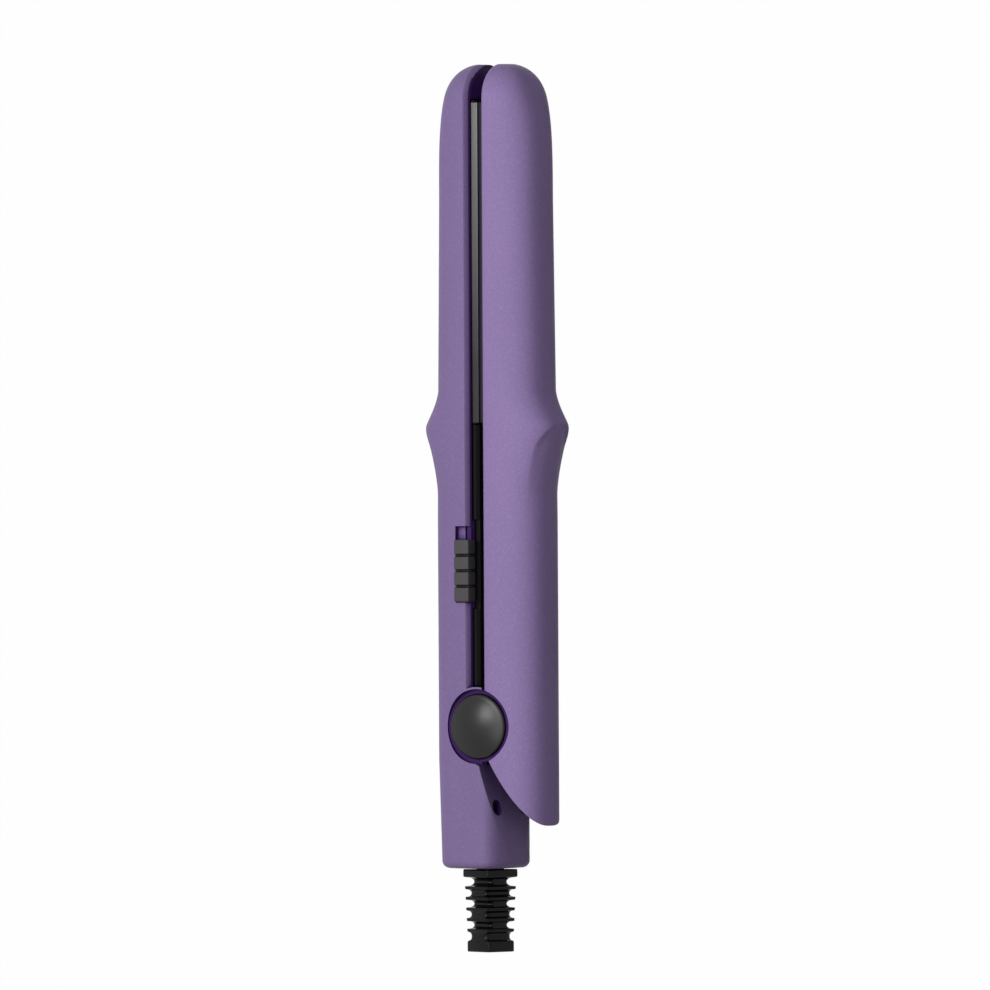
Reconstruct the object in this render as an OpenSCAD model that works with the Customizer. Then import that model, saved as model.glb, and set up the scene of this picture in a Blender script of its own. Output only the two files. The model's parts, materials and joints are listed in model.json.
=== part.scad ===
// Mini hair crimper: two moulded half shells on one hinge pin, closed.
// X is the opening direction (lever side positive), Y runs from the hinge to the tip,
// Z is the hinge axis. The lower hinge cap stands on Z = 0 and the hinge axis is X = Y = 0.

/* [Arms] */
// Width across the flat sides, along the hinge axis
body_w = 19.6; // [18:0.2:24]
// Solid tip beyond the plates
tip_l = 9.6; // [9.2:0.1:12]
// Half thickness of the closed tool at the tip end of the barrel
barrel_t = 14.6; // [13.8:0.1:17]
// Half thickness of the closed tool at the hinge
grip_t = 15.6; // [15:0.1:18]
// Squareness of the cross-section, 2 being an ellipse
squareness = 2.8; // [2.4:0.1:3.4]
// Wall of the moulded housings
wall = 1.8; // [1.4:0.1:2.2]
// Gap between the two housings along the seam
seam_gap = 4.1; // [3.6:0.1:5]
// Rounding of the lever's seam edges
seam_r = 1.2; // [0.6:0.1:1.6]
// Width of the bevel along the main housing's seam edges
bevel_w = 1.1; // [0.6:0.1:1.4]
// Depth of that bevel
bevel_h = 1.9; // [1:0.1:2.2]
// Length over which the tip rounds off in thickness
nose_l = 34; // [24:0.5:40]
// Length over which the tip rounds off in width
nose_w_l = 9; // [7:0.2:9.6]

/* [Finger stop] */
// Hinge axis to the crest of the flare
flare_y = 74.2; // [66:0.2:76]
// Height of the crest above the barrel
flare_h = 4.1; // [2:0.1:5]
// Length of the slope toward the tip
flare_tip_l = 9.5; // [7:0.5:14]
// Length of the slope toward the hinge
flare_grip_l = 17; // [12:0.5:22]
// Depth of the thumb scoop under the crest
scoop_h = 0.9; // [0.3:0.1:1.4]
// Width of the thumb scoop
scoop_w = 13; // [10:0.5:14]

/* [Tail] */
// Hinge axis to the flat bottom of the main housing
tail_l = 35.4; // [33:0.2:44]
// Half thickness of the tail at its bottom, on the back
tail_back_t = 14.7; // [13.5:0.1:15]
// Thickness of the tail on the lever side of the seam plane
tail_in_t = 4.75; // [4:0.05:5.2]
// Where the slanted face starts, from the seam plane
slant_x = 0.75; // [0.3:0.05:1.2]
// Where the slanted face starts, below the hinge axis
slant_y = 9.7; // [9.5:0.1:10.5]
// Hinge axis to the point of the lever's tail
lever_tail_l = 25.2; // [22:0.2:26]
// Bottom of the tail to the screws of the cord clamp
clamp_rise = 15.2; // [12:0.2:16]

/* [Hinge] */
// Diameter of the pin
pin_d = 5; // [4:0.5:6]
// Diameter of the pin's heads
pin_head_d = 7.4; // [7:0.1:8]
// Diameter of the round caps
cap_d = 16.4; // [15.8:0.1:16.8]
// Width of the groove round a cap
cap_groove = 1.1; // [0.9:0.1:1.2]
// Height of the caps above the flat sides
cap_rise = 0.9; // [0.5:0.1:1.4]
// Fall of a cap's domed face from its middle to its rim
cap_dome = 0.8; // [0.2:0.1:1]
// Rounding of the caps' rims
cap_r = 0.9; // [0.4:0.1:1.1]
// Depth of the round recess that a cap sits in
cap_seat = 1.4; // [1.1:0.1:1.5]
// Thickness of the main housing's ears under the caps
main_ear_t = 2; // [1.9:0.1:2.3]
// Thickness of the lever's ears
lever_ear_t = 2.1; // [1.6:0.1:2.6]
// Diameter of the lever's ears
lever_ear_d = 16; // [14:0.2:16.4]
// Thickness of the thrust washers
washer_t = 0.5; // [0.4:0.1:0.8]

/* [Plates] */
// Length of the crimping plates
plate_l = 79.6; // [70:0.2:100]
// Crest of the finger stop to the near end of the plates
plate_start = 1.3; // [1:0.1:6]
// Width of the plates
plate_w = 15.4; // [14.6:0.1:15.6]
// Mean thickness of the plates' face
plate_t = 3.4; // [3:0.1:3.6]
// Number of crimping waves across the plates
waves = 5; // [3:1:6]
// Height of a crimping wave
wave_h = 1.5; // [0.8:0.1:1.8]
// Gap between the closed plates
plate_gap = 0.3; // [0.25:0.05:0.6]
// Width of the ceramic heater
heater_w = 9.6; // [8:0.2:9.8]
// Thickness of the ceramic heater
heater_t = 2.8; // [2:0.1:3]
// Length of the ceramic heater
heater_l = 58; // [40:1:66]

/* [Inner covers] */
// Distance of the covers' faces from the seam plane
cover_x = 0.6; // [0.4:0.1:1.2]
// Thickness of the covers
cover_t = 2.4; // [2:0.1:2.6]
// Width of the covers
cover_w = 15; // [14:0.2:15.4]

/* [Switch] */
// Hinge axis to the middle of the switch knob
knob_y = 38.7; // [36:0.1:44]
// Length of the knob
knob_l = 15.4; // [12:0.2:16]
// Width of the knob
knob_w = 4.4; // [4:0.1:5]
// Height of the knob above the flat side
knob_rise = 0.8; // [0.4:0.1:0.9]
// Travel of the knob toward the tip
knob_travel = 3.2; // [2.4:0.1:4.4]
// Depth of the knob's track in the side wall
track_h = 1.4; // [1.2:0.1:1.6]
// Number of grip grooves in the knob
grooves = 3; // [2:1:4]

/* [Circuit board] */
// Room between the board and the holder's tongue
board_room = 5.6; // [1:0.2:10]
// Width of the board
board_w = 9.2; // [8:0.2:9.4]
// Thickness of the board
board_t = 1.2; // [1:0.1:1.6]

/* [Strain relief] */
// Distance of the relief's axis behind the seam plane
relief_x = 2.85; // [2.4:0.05:4.4]
// Length of the relief outside the housing
relief_l = 20.6; // [16:0.2:26]
// Width of the square collar
relief_w = 9.7; // [8.6:0.1:10]
// Width of the far end
relief_end_w = 7.8; // [7.4:0.1:8.6]
// Bore for the cord
cord_d = 5.2; // [4.6:0.1:5.4]
// Number of ribs between the collar and the end block
ribs = 5; // [3:1:7]
// Turn of the relief about its own axis
relief_turn = -15; // [-45:1:0]
// Diameter of the swivelling neck
neck_d = 7; // [6.6:0.1:7.4]

/* [Screws] */
// Diameter of the screw heads
head_d = 3.6; // [3.2:0.1:3.8]
// Thickness of the screw heads
head_t = 1.3; // [1:0.1:1.5]
// Diameter of the screw shanks
shank_d = 2.2; // [1.8:0.1:2.4]
// Length of the cover screws
cover_screw_l = 7; // [5:0.5:8]
// Length of the board screws
board_screw_l = 6; // [4:0.5:7]
// Length of the clamp screws
clamp_screw_l = 8; // [6:0.5:9]

/* [Fits] */
// Radial running clearance of the hinge pin and the swivel neck
run_c = 0.05; // [0.02:0.01:0.1]
// Clearance round the turning ears and under the sliding knob
move_c = 0.4; // [0.3:0.05:0.5]
// Clearance between pieces that are only placed beside each other
part_c = 0.2; // [0.1:0.05:0.3]

/* [Hidden] */
$fn = 48;

shell_c = "#8b78a8";
dark_c = "#1b1a1d";
plate_c = "#8f8d90";
steel_c = "#b9bbbf";

n = squareness;
plate_y = flare_y + plate_start;
plate_end = plate_y + plate_l;
reach = plate_end + tip_l;
half_w = body_w / 2;
half_seam = seam_gap / 2;
half_in = half_w - wall;
mid_z = half_w + cap_rise;

// Levels along the hinge axis, from the middle plane outward
seat_z = half_w - cap_seat;
main_ear_z = seat_z - main_ear_t;
washer_z = main_ear_z - washer_t - run_c;
lever_ear_z = washer_z - run_c - lever_ear_t;
cap_hole_r = cap_d / 2 + cap_groove;
main_ear_r = cap_hole_r - move_c;
lip_r = cap_hole_r + 0.5;
bore_r = pin_d / 2 + run_c;
head_seat = 1.2;

// Levels across the plates, from the seam plane outward
rail_in = heater_w / 2 + part_c;
rail_t = 0.8;
rail_out = rail_in + rail_t;
heater_x = plate_t + part_c / 2;
clip_x = heater_x + heater_t;
clip_t = 0.6;
rail_x = clip_x + clip_t + 0.5;
pad_t = 1.1;
pad_side = 8;
floor_x = clip_x + clip_t + pad_t;
floor_t = 1.2;
ledge_out = plate_w / 2 - 0.1;
holder_end = plate_end + 0.6;
cover_end = plate_y - 0.5;
cover_y = lip_r + 0.3;
tongue_x = cover_x + cover_t;
tongue_t = 1.6;
tongue_l = 9;

// Screws that hold cover and holder: the far one passes the holder's tongue
screw_far = cover_end - tongue_l / 2;
screw_near = cover_y + 5;
screw_seat = 1.1;
boss_r = 2.5;

// Switch: measured from the seam plane into the main housing
knob_in = half_seam - 0.45;
track_out = knob_in + knob_w + part_c;
track_z = half_w - track_h;
track_near = knob_y - knob_l / 2 - part_c;
track_far = knob_y + knob_l / 2 + knob_travel + part_c;
track_floor = 1.5;
guide_x = knob_in + 1.8;
guide_w = 0.5;
guide_h = 0.7;
stem_x = knob_in + knob_w - 1.2;
stem_w = 1.2;
stem_l = 3.6;
board_in = tongue_x + 0.3;
board_z = -1;
board_y = screw_near + boss_r + 2;
board_l = cover_end - tongue_l - board_room - board_y;
// Can of the slide switch, film capacitor, triac and resistor on the board
can_w = 3.6;
can_h = 4.4;
can_l = 12;
film_w = 4.2;
film_l = 12;
film_h = 4.4;
triac_w = 4.4;
triac_l = 6;
triac_h = 2.4;
resistor_d = 2;
resistor_l = 5.5;
terminal_d = 0.9;
terminal_h = 2.6;
terminal_pitch = 1.3;
post_r = 1.9;
post_x = board_in + board_w / 2 + 0.6;
post_near = board_y + 3;
post_far = board_y + board_l - 3;

// Tail
clamp_y = clamp_rise - tail_l;
clamp_z = 5.6;
clamp_in = 0.5;
clamp_back = relief_x + cord_d / 2;
bar_t = 2;
bar_w = 8;
bar_l = 14;
tooth_t = 0.6;
tooth_l = 4;
foot_r = 1.9;
bottom_t = 2.2;
flange_r = neck_d / 2 + 1.5;
flange_t = 1.5;
collar_t = 2;
end_t = 2.7;

// ---- Curves of the housings -------------------------------------------------

function unit(v) = max(0, min(1, v));

// Quarter of a superellipse of power m: 1 at t = 0, falling to 0 at t = 1
function round_off(t, m) = pow(1 - pow(unit(t), m), 1 / m);

// The crest of the flare: a ridge with a soft top and a hollow foot
function ridge(d) = pow(1 - unit((sqrt(d * d + 0.0144) - 0.12) / 0.8872), 1.55);
function flare(y) = flare_h * ridge(y > flare_y
    ? (y - flare_y) / flare_tip_l : (flare_y - y) / flare_grip_l);

// The nose curves run this far past the flat end of the tip
nose_over = 0.35;
nose_power = 3.8;
nose_w_power = 2.1;
function nose(y, l, m) = round_off((y - reach - nose_over + l) / l, m);

// Half thickness of an arm, without its flare: even along the grip, then tapered
grip_end = flare_y - flare_grip_l;
function taper(y) = grip_t
    + (barrel_t - grip_t) * unit((y - grip_end) / (reach - nose_l - grip_end));
function arm_t(y) = taper(y) * nose(y, nose_l, nose_power);
function arm_w(y) = half_w * nose(y, nose_w_l, nose_w_power);

// Back of the tail and the rounded rim of its bottom
rim_r = 1.4;
function rim(y) = let (d = unit(1 - (y + tail_l) / rim_r))
    rim_r * (1 - sqrt(1 - d * d * 0.98));
function tail_t(y) = grip_t + (tail_back_t - grip_t) * unit((-y - 8) / (tail_l - 10));
function main_t(y) = y < 0 ? tail_t(y) - rim(y) : arm_t(y) + flare(y);
function main_w(y) = y < 0 ? half_w - rim(y) : arm_w(y);

// The slanted inner face of the tail, then the seam edge of the arm (negative
// is on the lever's side of the seam plane)
slant_l = 23;
function slant(y) = slant_x
    + (tail_in_t - slant_x) * sin(90 * unit((-slant_y - y) / slant_l));
function main_edge(y) = y <= -slant_y ? -slant(y) + rim(y) : half_seam;

// Height of the side wall at distance x from the seam plane
function side(x, a, w) = w * pow(max(0, 1 - pow(unit(abs(x) / a), n)), 1 / n);

// How far the thumb scoop is sunk into the outer face at height z
function arch(y) = flare_y + 0.8 - y;
function scoop(y, z) =
    let (d = arch(y), r = scoop_w / 2,
         half = d <= 0 ? 0 : d < r ? sqrt(r * r - (r - d) * (r - d)) : r,
         fade = unit(1 - (d - 4) / (flare_grip_l - 1)))
    half <= 0 || abs(z) >= half ? 0
        : scoop_h * fade * min(1, (half - abs(z)) / 0.8, d / 1.6);

// ---- Lofted half shells -----------------------------------------------------

// Cross-section in columns: seam edge, crowned outside, seam edge. The edge form
// e is its width, its depth and its power, 1 being round and 2 a flat bevel. With
// its edge past the seam plane the section closes over a second quarter, b deep.
edge_n = 5;
crown_n = 24;
function edge_in(a, s, e) = min(e.x, 0.35 * (a - s));
function edge_at(j, m, a, w, s, e, b) =
    s < -0.05
        ? let (p = asin(pow(unit(-s / b), n / 2)) * j / m)
          [-b * pow(sin(p), 2 / n), w * pow(cos(p), 2 / n)]
        : let (p = 90 * j / m, q = edge_in(a, s, e), d = e.y * q / e.x)
          [s + q - q * pow(sin(p), e.z), side(s + q, a, w) - d + d * pow(cos(p), e.z)];
function crown_at(v, a, w, s, e) =
    let (q = s < -0.05 ? 0 : pow((s + edge_in(a, s, e)) / a, n / 2),
         p = acos(q) * v)
    [a * pow(cos(p), 2 / n), w * sign(v) * pow(abs(sin(p)), 2 / n)];
function section(m, k, a, w, s, e, b) = concat(
    [for (j = [m:-1:1]) let (q = edge_at(j, m, a, w, s, e, b)) [q.x, -q.y]],
    [for (i = [0:k]) crown_at(-1 + 2 * i / k, a, w, s, e)],
    [for (j = [1:m]) edge_at(j, m, a, w, s, e, b)]);
main_seam = [bevel_w, bevel_h, 1.7];
lever_seam = [seam_r, seam_r, 1];
hollow_seam = [0.5, 0.5, 1];

// Closed skin over a list of rings that all have the same number of points
module loft(rings) {
    c = len(rings[0]);
    last = len(rings) - 1;
    polyhedron(
        points = [for (ring = rings) each ring],
        faces = concat(
            [[for (j = [c - 1:-1:0]) j]],
            [[for (j = [0:c - 1]) last * c + j]],
            [for (i = [0:last - 1], j = [0:c - 1])
                let (p = i * c, q = (j + 1) % c) each [
                    [p + j, p + c + q, p + c + j],
                    [p + j, p + q, p + c + q]]]));
}

// Stations along the tool, closer together where the outline bends
nose_n = 13;
nose_ys = [for (i = [0:nose_n])
    reach - nose_l + nose_l * (1 - pow(1 - i / nose_n, 1.9))];
flare_ys = concat(
    [for (i = [0:9]) flare_y - flare_grip_l * (1 - i / 10)],
    [flare_y - 0.7, flare_y, flare_y + 0.7],
    [for (i = [1:6]) flare_y + flare_tip_l * (0.08 + 0.92 * i / 6)]);
arm_ys = concat([flare_y - flare_grip_l - 4], flare_ys, nose_ys);
tail_ys = concat(
    [for (i = [0:3]) -tail_l + rim_r * pow(i / 3, 1.6)],
    [for (i = [0:7]) -tail_l + rim_r + 0.8
        + (tail_l - rim_r - 0.8 - slant_y) * i / 7],
    [-slant_y + 1.5]);

module main_outside() {
    loft([for (y = concat(tail_ys, arm_ys))
        [for (p = section(edge_n, crown_n, main_t(y), main_w(y),
                main_edge(y), main_seam, tail_in_t - rim(y)))
            [p.x - (p.x > 0 && y > 0 ? scoop(y, p.y) : 0), y, p.y]]]);
}

module lever_outside() {
    loft([for (y = concat([-lever_tail_l, 0], arm_ys))
        [for (p = section(edge_n, crown_n, arm_t(y) + flare(y), arm_w(y),
                half_seam, lever_seam, 1))
            [p.x - scoop(y, p.y), y, p.y]]]);
}

// The hollow keeps the wall and leaves the flare and the tip thick
module hollow(ys) {
    loft([for (y = ys)
        [for (p = section(3, 12,
                (y < 0 ? tail_t(y) : arm_t(y)) - wall, arm_w(y) - wall,
                y <= -slant_y ? wall - slant(y) : half_seam - 0.8,
                hollow_seam, tail_in_t - wall))
            [p.x, y, p.y]]]);
}
hollow_ys = concat(
    [reach - nose_l],
    [for (i = [1:3]) reach - nose_l + (holder_end + 0.3 - reach + nose_l) * i / 3]);

// ---- Small helpers ----------------------------------------------------------

module lift() { translate([0, 0, mid_z]) children(); }
module back() { mirror([1, 0, 0]) children(); }
module along_y(y0, l) {
    translate([0, y0 + l, 0]) rotate([90, 0, 0]) linear_extrude(l) children();
}
module both_sides() {
    children();
    mirror([0, 0, 1]) children();
}
module rod(x, y, z, r, l) {
    translate([x, y, z]) rotate([0, 90, 0]) cylinder(r = r, h = l);
}
function rounded(w, h, r, k = 4) = [for (c = [[1, 1, 0], [-1, 1, 90], [-1, -1, 180],
    [1, -1, 270]], i = [0:k]) [c.x * (w / 2 - r) + r * cos(c.z + 90 * i / k),
    c.y * (h / 2 - r) + r * sin(c.z + 90 * i / k)]];

// A pan-head screw along X with its head's seat at the origin
module screw(l) {
    rotate([0, 90, 0]) {
        difference() {
            translate([0, 0, -head_t]) cylinder(r = head_d / 2, h = head_t);
            for (a = [0, 90]) rotate(a)
                translate([-head_d / 3, -0.3, -head_t - 1])
                    cube([head_d / 1.5, 0.6, 1.7]);
        }
        cylinder(r = shank_d / 2, h = l);
    }
}

// ---- Housings ---------------------------------------------------------------

// Bosses for the two screws of an arm, standing on the outer wall
module arm_bosses() {
    for (p = [[screw_near, tongue_x], [screw_far, tongue_x + tongue_t]])
        rod(p[1], p[0], 0, boss_r, arm_t(p[0]) - wall / 2 - p[1]);
}
module arm_boss_holes() {
    for (p = [[screw_near, tongue_x], [screw_far, tongue_x + tongue_t]])
        rod(p[1] - 1, p[0], 0, shank_d / 2, cover_screw_l + 0.5);
}
// Pocket in the solid tip that the holder's hook enters
hook_w = 6;
hook_t = 1.4;
hook_l = 1.6;
module hook_pocket() {
    translate([tongue_x + 0.4, holder_end - 0.5, -hook_w / 2 - part_c])
        cube([hook_t + 2 * part_c, hook_l + 0.5 + part_c, hook_w + 2 * part_c]);
}

module main_ear() {
    translate([0, 0, main_ear_z]) {
        cylinder(r = main_ear_r, h = main_ear_t);
        translate([-slant_x, -slant_y - 1.5, 0]) cube([slant_x + 4, slant_y + 1.5, main_ear_t]);
        translate([half_seam, -main_ear_r, 0]) cube([5, 2 * main_ear_r, main_ear_t]);
    }
    // Lip that carries the groove's wall on across the seam
    intersection() {
        translate([0, 0, half_in]) cylinder(r = lip_r, h = wall - 0.1);
        translate([move_c - half_seam, 0, 0]) cube([2 * half_seam + 1, lip_r, half_w]);
    }
}

module main_shell() {
    color(shell_c) lift() back() difference() {
        union() {
            difference() {
                main_outside();
                hollow(concat([-tail_l + bottom_t, -27, -20, -14, -slant_y,
                    -slant_y + 1.5, 0], hollow_ys));
            }
            both_sides() main_ear();
            arm_bosses();
            // Floor under the switch track
            translate([half_seam, track_near - 1.4, track_z - track_floor])
                cube([track_out + 1.4 - half_seam, track_far - track_near + 2.8,
                    track_floor + 0.2]);
            // Posts of the circuit board
            for (y = [post_near, post_far])
                translate([post_x, y, -half_in - 0.6])
                    cylinder(r = post_r, h = half_in + 0.6 + board_z);
            // Bosses behind the slanted face
            both_sides() rod(-1.8, clamp_y, clamp_z, 2.5, 1.8 + clamp_in);
        }
        // Round recesses of the caps
        both_sides() translate([0, 0, seat_z]) cylinder(r = cap_hole_r, h = 9);
        cylinder(r = pin_d / 2, h = 40, center = true);
        both_sides() translate([0, 0, seat_z - head_seat])
            cylinder(r = pin_head_d / 2 + 0.1, h = 9);
        both_sides() cap_pegs(0.05);
        // Track of the switch knob, open to the seam, with the slot of its stem
        translate([-3, track_near, track_z])
            cube([track_out + 3, track_far - track_near, 9]);
        translate([stem_x - stem_w / 2 - part_c, knob_y - stem_l / 2 - part_c,
                track_z - track_floor - 1])
            cube([stem_w + 2 * part_c, stem_l + knob_travel + 2 * part_c, 9]);
        // Guide groove along the track
        translate([guide_x, track_near, track_z - guide_h])
            cube([guide_w, track_far - track_near, 9]);
        arm_boss_holes();
        hook_pocket();
        for (y = [post_near, post_far])
            translate([post_x, y, board_z + board_t - board_screw_l - 0.7])
                cylinder(r = shank_d / 2, h = board_screw_l + 3);
        // Screw holes in the slanted face
        both_sides() {
            rod(-9, clamp_y, clamp_z, head_d / 2 + 0.15, 9 - 0.9);
            rod(-9, clamp_y, clamp_z, shank_d / 2 + 0.1, 20);
        }
        // Swivel bore of the strain relief
        translate([relief_x, -tail_l - 1, 0]) rotate([-90, 0, 0])
            cylinder(r = neck_d / 2 + run_c, h = bottom_t + 2);
    }
}

// Outline of everything that the oblique cut takes off the lever's tail
function tail_cut(t) = let (u = 1 - t)
    u * u * [3.2, -7.6] + 2 * u * t * [8.2, -18]
        + t * t * [grip_t + 0.6, -lever_tail_l];
module tail_cutter() {
    linear_extrude(60, center = true) polygon(concat(
        [[-1, -7.6]], [for (i = [0:14]) tail_cut(i / 14)],
        [[grip_t + 5, -lever_tail_l - 0.6], [grip_t + 5, -lever_tail_l - 9],
            [-1, -lever_tail_l - 9]]));
}

module lever_ear() {
    translate([0, 0, lever_ear_z]) linear_extrude(lever_ear_t) {
        circle(r = lever_ear_d / 2);
        translate([0, -lever_ear_d / 2]) square([12.6, lever_ear_d]);
    }
    along_y(-lever_ear_d / 2, lever_ear_d)
        polygon([[lip_r, lever_ear_z], [13.6, lever_ear_z], [13.6, 6.2],
            [10.9, half_in + 0.3], [lip_r, half_in + 0.3]]);
}

module lever_shell() {
    color(shell_c) lift() difference() {
        union() {
            difference() {
                lever_outside();
                hollow(concat([-lever_tail_l - 1, 0], hollow_ys));
                // Round cut that clears the main housing's ears and caps
                both_sides() translate([0, 0, washer_z])
                    cylinder(r = cap_hole_r, h = 20);
            }
            both_sides() lever_ear();
            arm_bosses();
        }
        tail_cutter();
        cylinder(r = bore_r, h = 40, center = true);
        arm_boss_holes();
        hook_pocket();
    }
}

// ---- Hinge ------------------------------------------------------------------

// Flat middle of a cap's face
cap_flat_r = 3;
module cap_pegs(c) {
    for (a = [30, 150, 270]) rotate(a)
        translate([6, 0, seat_z - 1.6 - c]) cylinder(r = 0.9 + c, h = 2);
}
module hinge_cap() {
    edge = cap_d / 2 - cap_r;
    h = cap_seat + cap_rise;
    rim = h - cap_dome - cap_r;
    translate([0, 0, seat_z]) rotate_extrude() polygon(concat(
        [[0, 0], [cap_d / 2, 0]],
        [for (i = [0:4]) [edge + cap_r * cos(18 * i), rim + cap_r * sin(18 * i)]],
        [for (i = [0:5]) [edge - (edge - cap_flat_r) * i / 5,
            h - cap_dome * pow(1 - i / 5, 2)]],
        [[0, h]]));
    cap_pegs(0);
}
module hinge_cap_upper() { color(dark_c) lift() hinge_cap(); }
module hinge_cap_lower() { color(dark_c) lift() mirror([0, 0, 1]) hinge_cap(); }

module hinge_pin() {
    color(steel_c) lift() {
        cylinder(r = pin_d / 2, h = 2 * (seat_z - head_seat), center = true);
        both_sides() translate([0, 0, seat_z - head_seat])
            cylinder(r = pin_head_d / 2, h = head_seat - 0.2);
    }
}
module hinge_washers() {
    color(steel_c) lift() both_sides() translate([0, 0, washer_z]) difference() {
        cylinder(r = lever_ear_d / 2 - 1.5, h = washer_t);
        translate([0, 0, -1]) cylinder(r = pin_d / 2 + 0.1, h = 9);
    }
}
module hinge_sleeve() {
    color(steel_c) lift() difference() {
        cylinder(r = pin_d / 2 + 1.2, h = 2 * lever_ear_z, center = true);
        cylinder(r = bore_r, h = 40, center = true);
    }
}

// ---- Heated jaws ------------------------------------------------------------

// Corrugated aluminium plate: a wavy face, side flanges and two heater rails
module plate(phase) {
    h = plate_w / 2;
    step = 10;
    along_y(plate_y, plate_l) difference() {
        polygon(concat(
            [for (i = [0:waves * step]) let (v = i / (waves * step))
                [plate_gap / 2 + phase * wave_h / 2 * sin(360 * waves * v),
                    -h + 2 * h * v]],
            [[plate_t, h], [plate_t, rail_in + rail_t], [rail_x, rail_in + rail_t],
                [rail_x, rail_in], [plate_t, rail_in], [plate_t, -rail_in],
                [rail_x, -rail_in], [rail_x, -rail_in - rail_t],
                [plate_t, -rail_in - rail_t], [plate_t, -h]]));
        // Grooves that the spring clip slides into
        translate([clip_x, -rail_in - 0.5]) square([clip_t, 2 * rail_in + 1]);
    }
}
module main_plate() { color(plate_c) lift() back() plate(-1); }
module lever_plate() { color(plate_c) lift() plate(1); }

heater_y = plate_y + (plate_l - heater_l) / 2;
module heater() {
    translate([heater_x, heater_y, -heater_w / 2]) cube([heater_t, heater_l, heater_w]);
    for (z = [-heater_w / 4, heater_w / 4])
        translate([heater_x + heater_t / 2 - 0.3, heater_y - 5, z - 1]) cube([0.6, 6, 2]);
}
module main_heater() { color("#d8c9a4") lift() back() heater(); }
module lever_heater() { color("#d8c9a4") lift() heater(); }

module clip() {
    w = rail_in + 0.45;
    difference() {
        translate([clip_x, heater_y + 2, -w]) cube([clip_t, heater_l - 4, 2 * w]);
        for (y = [heater_y + 12 : 17 : heater_y + heater_l - 10])
            translate([clip_x - 1, y, -3]) cube([3, 8, 6]);
    }
}
module main_clip() { color(steel_c) lift() back() clip(); }
module lever_clip() { color(steel_c) lift() clip(); }

pad_ys = [plate_y + plate_l * 0.25, plate_y + plate_l * 0.75];
module pads() {
    for (y = pad_ys)
        translate([clip_x + clip_t, y - pad_side / 2, -pad_side / 2])
            cube([pad_t, pad_side, pad_side]);
}
module main_pads() { color("#c96f4a") lift() back() pads(); }
module lever_pads() { color("#c96f4a") lift() pads(); }

// Heat-resistant trough behind the plate, with a block at each end, a tongue
// under the cover's screw and a hook in the tip
module holder() {
    o = ledge_out;
    x2 = floor_x + floor_t;
    half = [[plate_t, o], [floor_x - 2.6, o - 0.25], [floor_x - 0.6, o - 0.85],
        [floor_x + 0.5, o - 1.7], [x2, o - 3.1]];
    inner = [[floor_x, rail_out - 0.9], [floor_x - 0.5, rail_out + part_c],
        [floor_x - 2.6, rail_out + 0.7], [plate_t, rail_out + 0.9]];
    last = len(half) - 1;
    difference() {
        along_y(plate_y - 0.1, plate_l + 0.2) polygon(concat(
            half, [for (i = [last:-1:0]) [half[i].x, -half[i].y]],
            [for (i = [3:-1:0]) [inner[i].x, -inner[i].y]], inner));
        for (i = [1:3])
            translate([floor_x - 1, plate_y + plate_l * i / 4 - 5 + (i - 2) * 3, -2.5])
                cube([4, 8, 5]);
    }
    for (y = [plate_y - 0.4, plate_end + 0.1])
        along_y(y, y < plate_end ? 0.3 : holder_end - plate_end - 0.1) polygon(concat(
            [[cover_x, o - 1], [cover_x + 0.6, o]], half,
            [for (i = [last:-1:0]) [half[i].x, -half[i].y]],
            [[cover_x + 0.6, -o], [cover_x, 1 - o]]));
    difference() {
        translate([tongue_x, cover_end - tongue_l, -6])
            cube([tongue_t, tongue_l + plate_y - cover_end - 0.2, 12]);
        rod(0, screw_far, 0, shank_d / 2 + 0.15, 20);
    }
    translate([tongue_x + 0.4 + part_c, holder_end - 0.4, -hook_w / 2])
        cube([hook_t, hook_l + 0.4, hook_w]);
}
module main_holder() { color(dark_c) lift() back() holder(); }
module lever_holder() { color(dark_c) lift() holder(); }

// Cover of the grip: a panel with skirts and two countersunk screw seats
module cover() {
    h = cover_w / 2;
    difference() {
        along_y(cover_y, cover_end - cover_y - 0.1) polygon([
            [cover_x, 0.8 - h], [cover_x + 0.8, -h], [tongue_x + 1, -h],
            [tongue_x + 1, 0.9 - h], [tongue_x, 0.9 - h], [tongue_x, h - 0.9],
            [tongue_x + 1, h - 0.9], [tongue_x + 1, h], [cover_x + 0.8, h],
            [cover_x, h - 0.8]]);
        for (y = [screw_near, screw_far]) {
            rod(-5, y, 0, head_d / 2 + 0.15, 5 + cover_x + cover_t - screw_seat);
            rod(-5, y, 0, shank_d / 2 + 0.15, 20);
        }
    }
}
module main_cover() {
    color(dark_c) lift() back() difference() {
        cover();
        // Notch beside the switch track
        translate([-1, track_near - 1.6, track_z - track_floor - part_c])
            cube([9, track_far - track_near + 3.2, 9]);
    }
}
module lever_cover() { color(dark_c) lift() cover(); }

module cover_screws() {
    for (y = [screw_near, screw_far])
        translate([cover_x + cover_t - screw_seat, y, 0]) screw(cover_screw_l);
}
module main_screws() { color(steel_c) lift() back() cover_screws(); }
module lever_screws() { color(steel_c) lift() cover_screws(); }

// ---- Switch and circuit board -----------------------------------------------

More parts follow.
